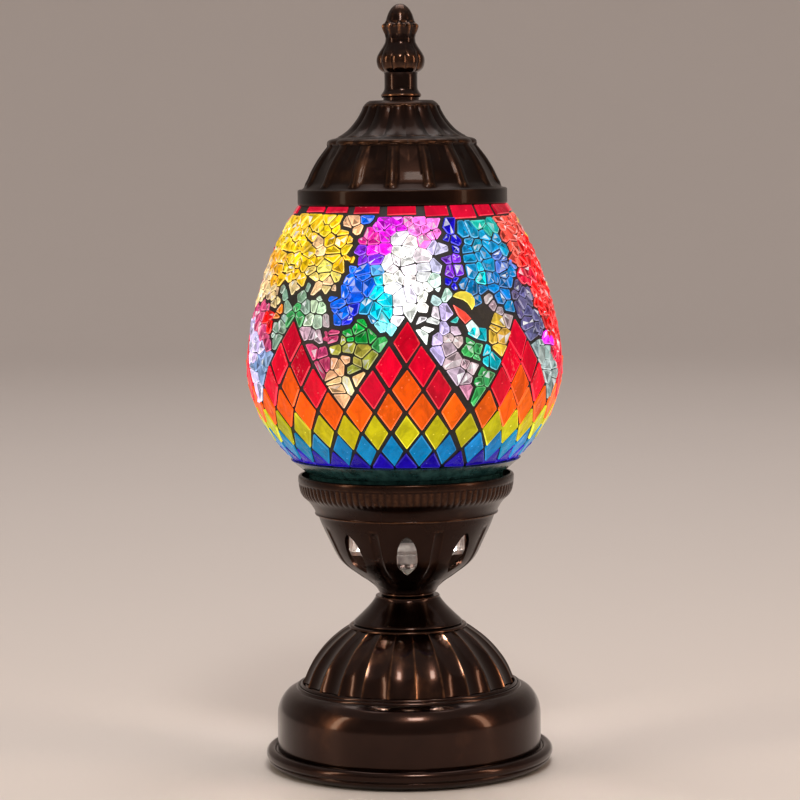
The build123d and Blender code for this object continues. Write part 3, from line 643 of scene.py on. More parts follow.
def worn(name, colour, lighter, roughness, metallic=0.0, scale=300.0, depth=0.2, grain=900.0):
    """Everyday surface with cloudy colour, uneven gloss and a grain."""
    made, tree, shader = new_material(name, Metallic=metallic)
    place = own_place(tree)
    cloud = noise(tree, place, scale, 5.0, Roughness=0.6)
    mixed = mix_colour(tree, ramp(tree, cloud, 0.35, 0.65), (*colour, 1), (*lighter, 1))
    tree.links.new(mixed, shader.inputs["Base Color"])
    rough = ramp(tree, cloud, 0.3, 0.7, roughness * 0.8, min(roughness * 1.2, 1.0))
    tree.links.new(rough, shader.inputs["Roughness"])
    tree.links.new(use(tree, "grain", grain=grain, depth=depth).outputs[0], shader.inputs["Normal"])
    return made


def glowing(name, colour, strength):
    """Lit part of the bulb, a little uneven."""
    made, tree, shader = new_material(name, Roughness=0.3)
    place = own_place(tree)
    cloud = noise(tree, place, 60.0, 2.0)
    tint = mix_colour(tree, cloud, (*[0.85 * c for c in colour], 1), (*colour, 1))
    tree.links.new(tint, shader.inputs["Base Color"])
    tree.links.new(tint, shader.inputs["Emission Color"])
    shader.inputs["Emission Strength"].default_value = strength
    return made


# ------------------------------------------------------------- operators
def cut(piece, cutter):
    """Cut one piece with another, which is then thrown away."""
    hole = piece.modifiers.new("cut", "BOOLEAN")
    hole.object = cutter
    hole.solver = "EXACT"
    apply_all(piece)
    bpy.data.objects.remove(cutter)


def fade_in(value, start, length):
    """Nought up to a start, one from a length beyond it."""
    return min(max((value - start) / length, 0.0), 1.0)


def stand_metal(piece, finish, node):
    """Bronze piece of the fixed stand."""
    wear_finish(piece, finish, "stand", "dark_bronze", node)


class LAMP_OT_foot(bpy.types.Operator):
    """Foot ring and drum with its rounded shoulder and two fine beads"""

    bl_idname = "lamp.foot"
    bl_label = "Foot and Drum"

    def execute(self, context):
        metal = bronze("dark_bronze_base", spots=0.1)
        ring = plain((50, 7.2), (55.7, 7.2)) + shaped([
            (56.2, 7.9), (57.2, 8.4), (58.6, 8.0), (59.6, 6.8), (59.8, 5.4), (59.5, 4.5), (59.0, 4.1),
        ], 4, 0.0) + shaped([
            (58.7, 3.95), (58.75, 3.7), (59.0, 3.45), (58.8, 2.7), (57.8, 1.6), (56.4, 0.8), (55.4, 0.6),
        ], 4, 0.0) + plain((52.8, 0.6), (52.8, 2.4), (50, 2.4))
        piece = spun("foot_ring_spun", ring, 160)
        stand_metal(piece, metal, "foot_ring")

        wall = plain((55.0, 7.2), (55.0, 9.0)) + shaped([
            (55.0, 12.0), (55.0, 18.0), (54.9, 22.6), (54.3, 25.6), (52.9, 28.6), (50.9, 31.0),
            (48.6, 32.4), (47.2, 32.9),
        ], 5, 0.0) + shaped(
            [(47.0, 32.9), (46.9, 33.3), (46.5, 33.9), (45.9, 34.0), (45.5, 33.6)], 4, 0.0
        ) + shaped(
            [(45.3, 33.6), (45.25, 34.2), (44.9, 34.8), (44.4, 34.9), (44.0, 34.5)], 4, 0.0
        ) + plain(
            (43.8, 33.6), (5.2, 33.6), (5.2, 32.4), (44.6, 32.4), (48.6, 31.4),
            (51.4, 28.6), (53.8, 22.2), (53.8, 7.2),
        )
        piece = spun("drum_spun", wall, 160)
        alone()
        bpy.ops.mesh.primitive_cylinder_add(
            vertices=40, radius=4.0 * MM, depth=24 * MM,
            location=(0, 52 * MM, 14 * MM), rotation=(math.pi / 2, 0, 0),
        )
        cut(piece, context.object)
        stand_metal(piece, metal, "base_drum")
        return {"FINISHED"}


class LAMP_OT_dome(bpy.types.Operator):
    """Fluted dome, bell-shaped neck and the collar under the cup"""

    bl_idname = "lamp.dome"
    bl_label = "Dome and Neck"

    def execute(self, context):
        metal = bronze("dark_bronze_dome", spots=0.22)
        depth = context.scene.lamp_metal.flute_depth

        flute_turn, flute_start = 15.0, 4.0

        def flutes(angle, r, z):
            place = ((angle - flute_start) / flute_turn) % 1.0
            hollow = math.sin(math.pi * place) ** 0.8
            return -depth * r * hollow

        curve = shaped([
            (44.0, 34.6), (43.6, 36.2), (40.9, 42.2), (36.7, 48.1), (32.6, 52.4), (29.0, 55.4),
            (26.4, 57.2), (24.9, 58.1),
        ], 7)
        outline = plain((41.6, 33.6), (43.9, 33.6)) + curve + shaped(
            [(24.6, 58.3), (24.5, 58.7), (24.2, 59.0), (23.7, 59.2)], 3, 0.0
        ) + plain(
            (23.2, 59.2), (22.9, 58.8), (5.2, 58.8), (5.2, 56.6), (21.0, 56.2), (30.0, 50.6), (38.0, 42.0),
        )
        piece = spun("dome_fluted", outline, 360, flutes, crease=28.0)
        stand_metal(piece, metal, "fluted_dome")

        neck = plain((5.2, 59.2), (22.4, 59.2)) + shaped([
            (22.6, 59.6), (22.5, 60.3), (19.9, 62.8), (16.6, 66.1), (14.6, 68.5), (13.5, 70.2), (13.4, 70.9),
        ], 6, 0.0) + plain((13.1, 71.2), (5.2, 71.2))
        piece = spun("neck_spun", neck, 128)
        stand_metal(piece, metal, "bell_neck")

        collar = plain((5.2, 71.2), (10.5, 71.2)) + shaped(
            [(10.9, 71.4), (11.1, 72.0), (10.9, 72.6)], 3, 0.0
        ) + plain((10.5, 72.8), (5.2, 72.8))
        piece = spun("collar_spun", collar, 96)
        stand_metal(piece, metal, "neck_collar")
        return {"FINISHED"}


class LAMP_OT_cup(bpy.types.Operator):
    """Pierced cup with a ribbed cove under its rim"""

    bl_idname = "lamp.cup"
    bl_label = "Pierced Cup"

    def execute(self, context):
        metal = bronze("dark_bronze_cup", spots=0.15, wear=0.35, dull=1.4, shade=0.7, coat=0.12)

        windows = 8
        turn = 360 / windows
        rib_depth, half_ribs = 0.42, 48
        groove_depth, groove_half_width = 0.75, 1.9

        def ribs_and_grooves(angle, r, z):
            if z > 110:
                fade = fade_in(z, 111.6, 1.6) * fade_in(-z, -118.9, 0.8)
                return rib_depth * fade * (abs(math.sin(math.radians(angle * half_ribs))) - 0.5)
            off = abs((angle + 0.5) % turn - turn / 2) * math.pi / 180 * r
            fade = fade_in(-z, -101.5, 2.0) * fade_in(z, 75.0, 2.5)
            return -groove_depth * fade * max(0.0, 1 - (off / groove_half_width) ** 2) ** 0.5

        bowl = shaped([
            (12.0, 72.8), (13.3, 74.9), (16.4, 77.6), (20.1, 80.1), (27.7, 86.3), (32.6, 95.5),
            (35.4, 101.6), (36.6, 105.0),
        ], 7)
        outline = plain((5.2, 72.8), (11.6, 72.8)) + bowl + plain((36.9, 105.4), (37.9, 105.6)) + shaped([
            (38.1, 106.0), (37.9, 106.6), (38.6, 108.2), (40.4, 110.8), (42.6, 113.0), (43.7, 114.8),
            (44.2, 116.6), (44.5, 118.4),
        ], 5) + shaped(
            [(44.6, 118.9), (44.8, 119.4), (44.8, 121.2), (44.5, 121.8), (44.1, 122.0)], 3, 0.0
        ) + plain(
            (43.4, 122.0), (43.4, 116.8), (41.4, 114.2), (36.4, 114.2), (36.4, 112.6), (34.4, 105.2),
        ) + shaped(
            [(34.0, 103.6), (31.4, 96.2), (26.6, 87.5), (19.4, 81.4), (14.2, 78.1), (12.4, 75.6)], 5, 0.0
        ) + plain((5.2, 74.9))
        piece = spun("cup_spun", outline, 576, ribs_and_grooves, crease=30.0)

        window = smooth_run([
            (0.0, 82.4), (1.9, 84.2), (3.6, 86.2), (4.1, 88.2), (4.1, 91.2), (3.8, 94.2), (2.7, 97.0),
            (1.2, 99.0), (0.0, 99.8),
        ], 3)
        around = window + [(-x, z) for x, z in reversed(window[1:-1])]
        cutters = []
        for i in range(windows):
            alone()
            bpy.ops.mesh.primitive_circle_add(vertices=len(around), radius=0.01, fill_type="NGON")
            cutter = context.object
            for vertex, (x, z) in zip(cutter.data.vertices, around):
                vertex.co = (x * MM, -14 * MM, z * MM)
            bpy.ops.object.mode_set(mode="EDIT")
            bpy.ops.mesh.select_all(action="SELECT")
            bpy.ops.mesh.extrude_region_move(TRANSFORM_OT_translate={"value": (0, -30 * MM, 0)})
            bpy.ops.mesh.select_all(action="SELECT")
            bpy.ops.mesh.normals_make_consistent(inside=False)
            bpy.ops.object.mode_set(mode="OBJECT")
            cutter.data.transform(Matrix.Rotation(math.radians(turn * i), 4, "Z"))
            cutters.append(cutter)
        alone()
        for cutter in cutters:
            cutter.select_set(True)
        context.view_layer.objects.active = cutters[0]
        bpy.ops.object.join()
        cut(piece, context.object)
        stand_metal(piece, metal, "gallery_cup")
        return {"FINISHED"}


class LAMP_OT_cap(bpy.types.Operator):
    """Lobed cap: sixteen hollow panels, a scalloped step and a fluted bell"""

    bl_idname = "lamp.cap"
    bl_label = "Cap"

    def execute(self, context):
        metal = bronze("dark_bronze_cap", spots=0.12, wear=0.35, dull=1.8, shade=0.5, coat=0.08)

        lobe_turn, lobe_start = 360 / 16, 6.5

        def panels(angle, r, z):
            place = ((angle + lobe_start) / lobe_turn) % 1.0
            from_ridge = min(place, 1 - place) * lobe_turn * math.pi / 180 * r
            if z < 258.5:
                width = 1.0 + 0.04 * r
                ridge = max(0.0, 1 - (from_ridge / width) ** 2)
                half = lobe_turn / 2 * math.pi / 180 * r
                hollow = math.sin(math.pi / 2 * min(from_ridge / half, 1.0))
                fade = fade_in(z, 240.4, 2.0)
                arch = fade_in(-z, -258.0, 3.0 + 4.0 * (from_ridge / half) ** 2)
                return fade * (0.9 * ridge ** 0.5 - 1.0 * hollow * arch) * min(1.0, r / 34)
            bump = abs(math.cos(math.pi * place))
            if z < 261.6:
                return 0.9 * bump - 0.5
            return 0.055 * r * (bump - 0.5)

        rim = plain((41.7, 233.6), (42.6, 233.6)) + shaped(
            [(43.0, 233.8), (43.2, 234.4), (43.2, 236.6), (43.2, 239.2), (43.0, 239.8), (42.4, 240.1)], 3, 0.0
        )
        lower = shaped([
            (41.4, 240.2), (40.6, 241.0), (38.9, 243.6), (37.0, 247.6), (34.4, 252.0), (31.8, 255.6),
            (30.2, 257.6),
        ], 7)
        step = shaped([(30.3, 258.2), (30.6, 258.9), (30.2, 259.8), (29.2, 260.4), (28.2, 260.7)], 3)
        bell = shaped([
            (27.0, 260.9), (25.8, 261.5), (24.0, 262.5), (21.3, 264.6), (18.1, 268.5), (16.1, 272.0),
            (15.4, 273.8),
        ], 7)
        crown = shaped([(15.3, 274.2), (14.9, 274.8), (13.9, 275.6), (12.9, 276.1)], 3, 0.0)
        inside = plain(
            (3.0, 276.1), (3.0, 272.0), (11.1, 271.5), (16.0, 266.0), (18.0, 263.9), (26.6, 256.0),
            (32.2, 247.6), (35.8, 238.8), (37.0, 239.0), (41.7, 239.0),
        )
        outline = rim + lower + step + bell + crown + inside
        piece = spun("cap_lobed", outline, 384, panels, crease=32.0)
        wear_finish(piece, metal, "cap", "dark_bronze", "cap")
        return {"FINISHED"}


class LAMP_OT_finial(bpy.types.Operator):
    """Onion finial with gadroons and a crown of petal tips"""

    bl_idname = "lamp.finial"
    bl_label = "Finial"

    def execute(self, context):
        metal = bronze("dark_bronze_finial", spots=0.25, shade=0.75)
        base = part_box("finial")[0].z / MM

        def gadroons(angle, r, z):
            place = abs(math.cos(math.radians(angle * 5 + 20)))
            if z > base + 24.5:
                sharp = fade_in(z, base + 24.5, 3.0) * fade_in(-z, -base - 31.5, 1.6)
                return sharp * (1.1 * place ** 4 - 0.5) - (1 - sharp) * 0.28 * (1 - place)
            fade = fade_in(z, base + 9.8, 2.0) * max(fade_in(-z, -base - 22.5, 6.0), 0.15)
            return 0.85 * fade * (place ** 0.6 - 0.75)

        def above_base(*points):
            return [(r, base + z) for r, z in points]

        low = plain((2.5, base), (7.9, base)) + shaped(
            above_base((8.2, 0.5), (8.3, 1.1), (7.7, 2.0), (7.0, 3.2), (6.8, 4.6), (6.8, 9.4)), 3, 0.0
        )
        bulb = shaped(above_base(
            (7.0, 10.2), (8.1, 10.9), (9.2, 12.2), (9.8, 14.4), (9.7, 16.4), (8.8, 18.4), (7.5, 20.4),
            (6.4, 22.4), (6.1, 24.2),
        ), 5)
        crown = shaped(above_base((6.3, 25.8), (6.8, 27.6), (7.2, 29.0), (6.9, 29.8), (6.2, 30.4)), 5)
        tip = shaped(above_base(
            (6.0, 31.2), (5.5, 32.8), (4.9, 34.4), (3.9, 36.1), (2.6, 37.4), (1.3, 38.1), (0.0, 38.3),
        ), 5, 0.35)
        outline = low + bulb + crown + tip
        outline = [(r, min(z, top_of_lamp - 0.05), share) for r, z, share in outline]
        bore = plain((0.0, base + 17.0), (2.45, base + 17.0))
        piece = spun("finial_gadrooned", bore + outline, 200, gadroons, closed=False, crease=40.0)
        wear_finish(piece, metal, "finial", "dark_bronze", "finial")
        return {"FINISHED"}


# places are (angle from the front in degrees, height in mm), turning to the right
field_colours = {
    "yellow": (250, 200, 10), "deep_yellow": (245, 165, 10), "pale_yellow": (250, 225, 110),
    "beige": (235, 200, 140), "peach": (240, 185, 130), "cream": (235, 215, 170),
    "magenta": (245, 20, 240), "hot_magenta": (240, 30, 160), "pink": (255, 110, 215),
    "violet": (130, 40, 230), "lavender": (215, 200, 245), "white": (235, 230, 238),
    "bulb_glare_white": (255, 250, 255),
    "blue": (0, 100, 240), "light_blue": (90, 170, 250), "deep_blue": (20, 40, 230),
    "cyan": (0, 210, 235), "light_cyan": (130, 235, 245), "azure": (0, 150, 205), "deep_azure": (0, 120, 190),
    "slate_blue": (70, 110, 190), "teal": (20, 180, 165), "cobalt": (20, 5, 215),
    "coral": (235, 75, 60), "red": (250, 0, 8), "red_pink": (235, 20, 60),
    "rose": (200, 60, 110), "slate": (90, 85, 130), "aqua_white": (205, 235, 230),
    "mauve": (190, 165, 175), "rose_mauve": (195, 120, 150), "emerald": (5, 165, 60),
    "olive": (165, 160, 60), "green": (60, 170, 90), "amber": (225, 180, 60), "pale_gold": (245, 210, 75),
    "turquoise": (0, 185, 205), "grey_green": (130, 160, 140), "pale_green": (190, 210, 180),
    "silver": (150, 170, 165), "orange": (245, 130, 20), "blue_grey": (120, 150, 190),
    "gap": None,
}
fields = {
    "left yellow": {
        "yellow": [
            (-66, 228), (-55, 228), (-44, 226), (-33, 224), (-26, 220), (-62, 218), (-50, 217), (-38, 214),
            (-28, 213), (-56, 206), (-45, 207),
        ],
        "deep_yellow": [(-66, 207)], "pale_yellow": [(-38, 209), (-30, 207)],
        "beige": [(-62, 199), (-50, 198), (-70, 200), (-33, 202), (-38, 216)],
    },
    "left tip": {"peach": [(-28, 229.5), (-24, 227)], "blue": [(-17.5, 229.5)]},
    "petal": {
        "hot_magenta": [(-14, 222)], "magenta": [(-9, 226), (-2, 229), (-10, 220)],
        "pink": [(5, 228), (11, 228), (12, 222), (16, 223)], "lavender": [(14, 217), (15, 211)],
        "violet": [(-16, 213), (-9, 212)], "blue": [(-18, 207), (-22, 200), (-15, 200), (-26, 194)],
        "light_blue": [(-12, 207)], "deep_blue": [(-20, 191)], "azure": [(-13, 193)],
        "cyan": [(-9, 204), (-9, 199), (-9, 193)], "light_cyan": [(-5, 186)],
        # white chips where the bulb shows through, front and back: a painted pool of the bulb's light
        "bulb_glare_white": [
            (-5, 221), (2, 221), (-5, 214), (2, 214), (7, 217), (-4, 207), (3, 207), (8, 209), (-3, 200), (3, 199),
            (8, 202), (-3, 193), (3, 191), (8, 195), (1, 185), (6, 187),
        ],
        "aqua_white": [(12, 206), (12.5, 201)],
    },
    "cobalt bits": {
        "cobalt": [(20.5, 226), (24, 225), (22, 220), (18.5, 204)], "violet": [(19.5, 211), (15.8, 203.5)],
    },
    "azure": {
        "azure": [(30, 219), (38, 222), (46, 219), (27, 211), (36, 212)],
        "deep_azure": [(28, 203), (37, 203), (46, 204), (30, 197), (40, 197)], "cyan": [(33, 207)],
        "slate_blue": [(45, 212)], "teal": [(38, 226.7), (44, 226.5)],
    },
    "right edge": {
        "coral": [(56, 227), (62, 224), (60, 216)], "red": [(66, 212), (68, 200), (70, 185), (66, 193)],
        "red_pink": [(62, 205), (72, 172)], "magenta": [(66, 178)],
        "silver": [(61, 172), (68, 166), (75, 160), (64, 159)],
    },
    "slate": {"slate": [(48, 198), (53, 192), (56, 185)]},
    "pearl": {
        "aqua_white": [(12, 196), (17, 199)], "white": [(9, 190)],
        "lavender": [(14, 188), (12, 181)], "mauve": [(19, 183), (17, 174), (22, 170), (20, 165)],
        "rose_mauve": [(24, 162)],
    },
    "leaf": {"teal": [(20, 189)], "green": [(22, 182), (25, 174), (28, 168), (29, 160)]},
    "turquoise": {"turquoise": [(28, 184), (31, 179), (34, 172)]},
    "right amber": {
        "mauve": [(33, 194), (37, 192)], "amber": [(34, 185), (38, 184), (37, 177)],
    },
    "grey green": {
        "grey_green": [(-52, 197), (-42, 198), (-50, 185)], "pale_green": [(-34, 197), (-36, 189)],
        "green": [(-46, 190)], "mauve": [(-40, 183), (-33, 184), (-40, 177)],
    },
    "rose": {
        "rose": [(-30, 181), (-35, 177), (-30, 174)],
        "peach": [(-26, 170), (-22, 175), (-25, 163), (-22, 168)],
        "cream": [(-20, 162)],
    },
    "emerald": {
        "emerald": [(-22, 186), (-14, 185)], "green": [(-9, 180)],
        "olive": [(-14, 179), (-22, 178), (-17, 172), (-9, 174)],
    },
    "bits": {"peach": [(-16, 166), (-12, 166)], "cream": [(-18, 161)], "magenta": [(-33, 160)]},
    "far left": {
        "rose": [(-68, 193), (-66, 184)], "red": [(-60, 190)], "orange": [(-54, 193)],
        "lavender": [(-70, 176), (-68, 160)], "blue_grey": [(-66, 168)],
    },
    "grout": {
        "gap": [
            (17.5, 230.5), (22, 197.5), (25.5, 198.5), (25, 193.5), (28.5, 192.5), (29.5, 189), (-44, 177),
            (22.5, 191), (24.5, 187),
        ],
    },
}
# shards laid one by one: (angle, height), colour and outline in mm
shards = [
    ((23.4, 197.0), "pale_gold", [
        (-4.6, 1.3), (-3.4, 2.4), (-1.2, 3.1), (1.4, 3.0), (3.5, 1.9), (4.6, -0.2), (4.4, -2.6), (2.9, -4.5),
        (2.2, -3.2), (1.2, -1.6), (-0.4, -0.4), (-2.6, 0.3),
    ]),
    ((22.4, 190.4), "coral", [(-3.8, 4.6), (0.8, 1.6), (3.2, -1.2), (0.4, -3.2), (-2.2, 0.0)]),
    ((24.8, 185.8), "aqua_white", [
        (0.8, 3.0), (3.4, -0.2), (3.8, -3.0), (2.0, -4.6), (-0.6, -2.8), (-2.0, 1.0),
    ]),
]
# how much brighter a colour shows where the bulb is close behind it
heat = {"bulb_glare_white": 1.16, "light_cyan": 1.3, "aqua_white": 1.05, "pink": 1.2, "magenta": 1.1, "cyan": 1.15}
# share of the crack gap inside a field, and bare grout kept round a field in mm
tightness = {"petal": 0.46, "pearl": 0.7, "right edge": 0.6, "far left": 0.6, "leaf": 0.6}
banks = {"petal": 0.5, "left yellow": 0.4, "grey green": 0.3}
# rim tiles at the front: start and end in degrees, height in mm
rim_spans = [
    (-61, -46, 1.9), (-44, -30, 2.2), (-26, -12, 2.6), (-8, 7, 3.4), (11.5, 24, 4.2),
    (26, 40, 5.6), (42, 54, 4.6), (56.5, 73, 4.2),
]
# starts of the plain rim tiles at the side, in degrees
side_rim_starts, side_rim_width, side_rim_height = (76, 91), 13, 3.0


def linear(colour):
    """Linear colour from one given in 0 to 255."""
    return tuple(c / 255 / 12.92 if c < 11 else ((c / 255 + 0.055) / 1.055) ** 2.4 for c in colour)


def varied(dice, colour, spread=0.16):
    """Colour of one chip: a little lighter or darker, and a little off in hue."""
    light = 1 + dice.uniform(-spread, spread)
    return tuple(max(c * light * (1 + dice.uniform(-0.1, 0.1)), 0.0) for c in colour)


def heated(colour):
    """Linear colour of a named glass, brighter where the bulb is close behind it."""
    return tuple(c * heat.get(colour, 1.0) for c in linear(field_colours[colour]))


def rim_height(angle):
    """Height of the rim tiles above an angle."""
    for turn in (0, 180):
        here = from_front(angle - turn)
        for start, end, tall in rim_spans:
            if start - 2 <= here <= end + 2:
                return tall
    return side_rim_height


def diamond(dice, wide, tall, low):
    """Hand-cut diamond, or the house shape of the lowest row, with blunted corners."""
    if low:
        corners = [(wide, -1.0), (wide, 0.1), (0, tall), (-wide, 0.1), (-wide, -1.0)]
    else:
        corners = [(wide, 0), (0, tall), (-wide, 0), (0, -tall)]
    corners = [
        (x * dice.uniform(0.92, 1.04) + dice.uniform(-0.2, 0.2), y * dice.uniform(0.94, 1.03))
        for x, y in corners
    ]
    blunted = 0.32
    outline = []
    for i, (x, y) in enumerate(corners):
        for other in (corners[i - 1], corners[(i + 1) % len(corners)]):
            pull = blunted / math.dist((x, y), other)
            outline.append((x + (other[0] - x) * pull, y + (other[1] - y) * pull))
    shift = dice.uniform(-0.3, 0.3)
    return [(x + shift, y) for x, y in outline]


class LAMP_OT_tiles(bpy.types.Operator):
    """Diamond tiles of the lattice and the red tiles under the cap"""

    bl_idname = "lamp.tiles"
    bl_label = "Tiles"

    def execute(self, context):
        glass = context.scene.lamp_glass
        dice = random.Random(11)
        gap = glass.tile_gap / MM
        heights = [height_at(row * q) for q in range(7)]
        around, tops = range(tiles_round), range(0, tiles_round, tiles_round // peaks)
        laid = {
            "cobalt": [(0, k) for k in around],
            "turquoise": [(1, k + 0.5) for k in around],
            "yellow": [(2, k) for k in around],
            "orange": [(3, k + 0.5) for k in around] + [(4, k) for k in tops],
            "red": [(4, k + side) for k in tops for side in (-1, 1)]
            + [(5, k + side) for k in tops for side in (-0.5, 0.5)] + [(6, k) for k in tops],
        }
        for colour, places in laid.items():
            flats = []
            for level, k in places:
                height = heights[level]
                low = level == 0
                wide = math.radians(tile_turn / 2) * egg_radius(height) - gap * (0.27 if low else 0.62)
                outline = diamond(dice, wide, row - gap * 0.72, low)
                tilt = dice.uniform(-0.02, 0.02), dice.uniform(-0.015, 0.015)
                angle = k * tile_turn + drift(k * tile_turn)
                corners = lay(outline, angle, height, 0.12, tilt, dice.uniform(-0.045, 0.045), 0.4)
                flats.append((corners, varied(dice, getattr(glass, colour))))
            piece = chips(colour + "_diamonds", flats, 0.45, 0.24)
            finish = lit_glass(colour + "_tile_glass", 0.12, 190.0, ripple=0.7, dark=0.7, light=1.28)
            wear_finish(piece, finish, "shade", colour + "_glass", colour + "_tiles")

        spans = []
        for turn in (0, 180):
            spans += [(start + turn, end + turn, tall) for start, end, tall in rim_spans]
            spans += [
                (start + turn, start + turn + side_rim_width, side_rim_height) for start in side_rim_starts
            ]
        flats = []
        for start, end, tall in spans:
            height = crown_of_tiles - 0.05 - 0.38 * tall
            half = math.radians((end - start) / 2) * egg_radius(height)
            lift = tall / 2 + 0.3
            outline = [(half, -lift + 0.3), (half - 0.2, lift), (-half + 0.2, lift), (-half, -lift)]
            flats.append((lay(outline, (start + end) / 2, height, 0.3), varied(dice, glass.rim, 0.1)))
        piece = chips("rim_band", flats, 0.3, 0.2, 1.2)
        finish = lit_glass("rim_tile_glass", 0.12, 60.0, dark=0.45)
        wear_finish(piece, finish, "shade", "rim_red_glass", "rim_tiles")
        return {"FINISHED"}


class LAMP_OT_crackle(bpy.types.Operator):
    """Fields of cracked glass over the lattice"""

    bl_idname = "lamp.crackle"
    bl_label = "Cracked Glass"

    def execute(self, context):
        glass = context.scene.lamp_glass
        dice = random.Random(4)
        size, field_joint = glass.fragment / MM, glass.field_gap / MM
        clear_of_lattice, clear_of_rim = 1.7, 0.9
        far_side, shortest_edge, least_area = 7, 0.7, 1.8
        anchors = [
            (angle + turn, height, (field, turn), colour)
            for turn in (0, 180)
            for field, colours in fields.items()
            for colour, places in colours.items()
            for angle, height in places
        ]

        seeds = []
        walked = row * 3
        while walked < walk_to(crown_of_tiles):
            r = egg_radius(height_at(walked))
            count = round(2 * math.pi * r / size)
            offset = dice.random()
            for k in range(count):
                angle = (k + offset + dice.uniform(-0.36, 0.36)) * 360 / count
                up = walked + dice.uniform(-0.38, 0.38) * size
                if dice.random() > 0.06:
                    seeds.append((angle % 360, up, dice.uniform(-3.2, 3.2)))
            walked += size * 0.86

        def flank(angle, up, r, side):
            """Distance above the lattice's edge, and the direction away from it."""
            tile = math.radians(tile_turn) * r
            place = (angle - drift(angle)) % peak_turn
            off = place if side > 0 else peak_turn - place
            long = math.hypot(2 * row, tile)
            away = (up * tile + 2 * row * math.radians(off) * r - 7 * row * tile) / long
            return away, side * 2 * row / long, tile / long

        kept = []
        for angle, up, weight in seeds:
            height = height_at(up)
            r = egg_radius(height)
            room = walk_to(crown_of_tiles - 0.2) - rim_height(from_front(angle)) - clear_of_rim - up
            nearest = min(flank(angle, up, r, 1)[0], flank(angle, up, r, -1)[0])
            if nearest < clear_of_lattice or room < 1.0:
                continue
            best = min(anchors, key=lambda item: (
                (math.radians(from_front(angle - item[0])) * r) ** 2 + (height - item[1]) ** 2
            ))
            kept.append((angle, up, height, r, best[2], best[3], room, weight))

        flats = []
        for i, (angle, up, height, r, field, colour, room, weight) in enumerate(kept):
            if colour == "gap":
                continue
            crack = glass.crack_gap / MM * tightness.get(field[0], 1.0)
            outline = [(-far_side, -far_side), (far_side, -far_side), (far_side, far_side), (-far_side, far_side)]
            for side in (1, -1):
                away, nx, ny = flank(angle, up, r, side)
                outline = clip(outline, -nx, -ny, away - 0.8)
            outline = clip(outline, 0, 1, room)
            for j, (angle2, up2, _, r2, field2, _, _, weight2) in enumerate(kept):
                dy = up2 - up
                if i == j or abs(dy) > 2 * far_side:
                    continue
                dx = math.radians(from_front(angle2 - angle)) * (r + r2) / 2
                if abs(dx) > 2 * far_side:
                    continue
                far = math.hypot(dx, dy)
                if field == field2:
                    joint = crack * dice.uniform(0.55, 1.5)
                else:
                    joint = field_joint + banks.get(field[0], 0.0) + banks.get(field2[0], 0.0)
                lean = max(min((weight - weight2) / (2 * far), 0.22 * far), -0.22 * far)
                outline = clip(outline, dx / far, dy / far, far / 2 + lean - joint / 2)
                if len(outline) < 3:
                    break
            outline = round_corners(tidy_outline(outline, shortest_edge))
            if len(outline) < 3 or area_of(outline) < least_area:
                continue
            sink = 0.15 + dice.uniform(-0.12, 0.12)
            tilt = dice.uniform(-0.05, 0.05), dice.uniform(-0.05, 0.05)
            flats.append((lay(outline, angle, height, sink, tilt), varied(dice, heated(colour))))
        alone_laid = [
            (lay(outline[::-1], angle + turn, height, 0.1), varied(dice, heated(colour)))
            for turn in (0, 180)
            for (angle, height), colour, outline in shards
        ]
        piece = chips("single_shards", alone_laid, 0.3, 0.2)
        finish = lit_glass("shard_glass", 0.1, 260.0, ripple=0.5, dark=0.6, edge=0.2)
        wear_finish(piece, finish, "shade", "crackle_glass")

        piece = chips("crackle_chips", flats, 0.38, 0.2, 1.5, 0.45)
        finish = lit_glass("cracked_glass", 0.1, 260.0, ripple=0.5, dark=0.45, light=1.4, edge=0.2)
        wear_finish(piece, finish, "shade", "crackle_glass", "crackle_glass")
        return {"FINISHED"}


class LAMP_OT_grout(bpy.types.Operator):
    """Black grout that beds the glass, a little below its faces"""

    bl_idname = "lamp.grout"
    bl_label = "Grout"

    def execute(self, context):
        def skin(depth, low, high, count):
            """Run of points a depth under the egg's face."""
            heights = [low + (high - low) * i / count for i in range(count + 1)]
            return plain(*(
                (egg_radius(z) - depth * math.cos(egg_lean(z)), z - depth * math.sin(egg_lean(z)))
                for z in heights
            ))

        low, high = foot_of_tiles - 1.6, crown_of_tiles + 0.6
        outline = skin(0.55, low, high, 80) + skin(2.5, low + 0.3, high - 0.1, 40)[::-1]
        piece = spun("grout_bed", outline, 200)
        made = worn(
            "black_grout", (0.004, 0.004, 0.005), (0.02, 0.018, 0.02), 0.55, scale=220.0, depth=0.5, grain=700.0,
        )
        wear_finish(piece, made, "shade", "grout", "grout_layer")

        seal = plain((39.45, 1.4), (40.0, 1.2)) + shaped(
            [(40.3, 1.6), (40.3, 6.6), (41.0, 7.6), (43.4, 9.4), (46.0, 11.6), (47.7, 13.0)], 4, 0.0
        ) + plain((45.8, 13.6), (39.45, 8.2))
        seal = [(r, seat + z, share) for r, z, share in seal]
        piece = spun("lip_seal", seal, 160)
        # the seal's teal colour is a painted reflection of the blue tiles' light
        made = worn(
            "black_seal", (0.006, 0.03, 0.032), (0.03, 0.09, 0.092), 0.16, scale=260.0, depth=0.5, grain=420.0,
        )
        wear_finish(piece, made, "shade", "grout")
        return {"FINISHED"}


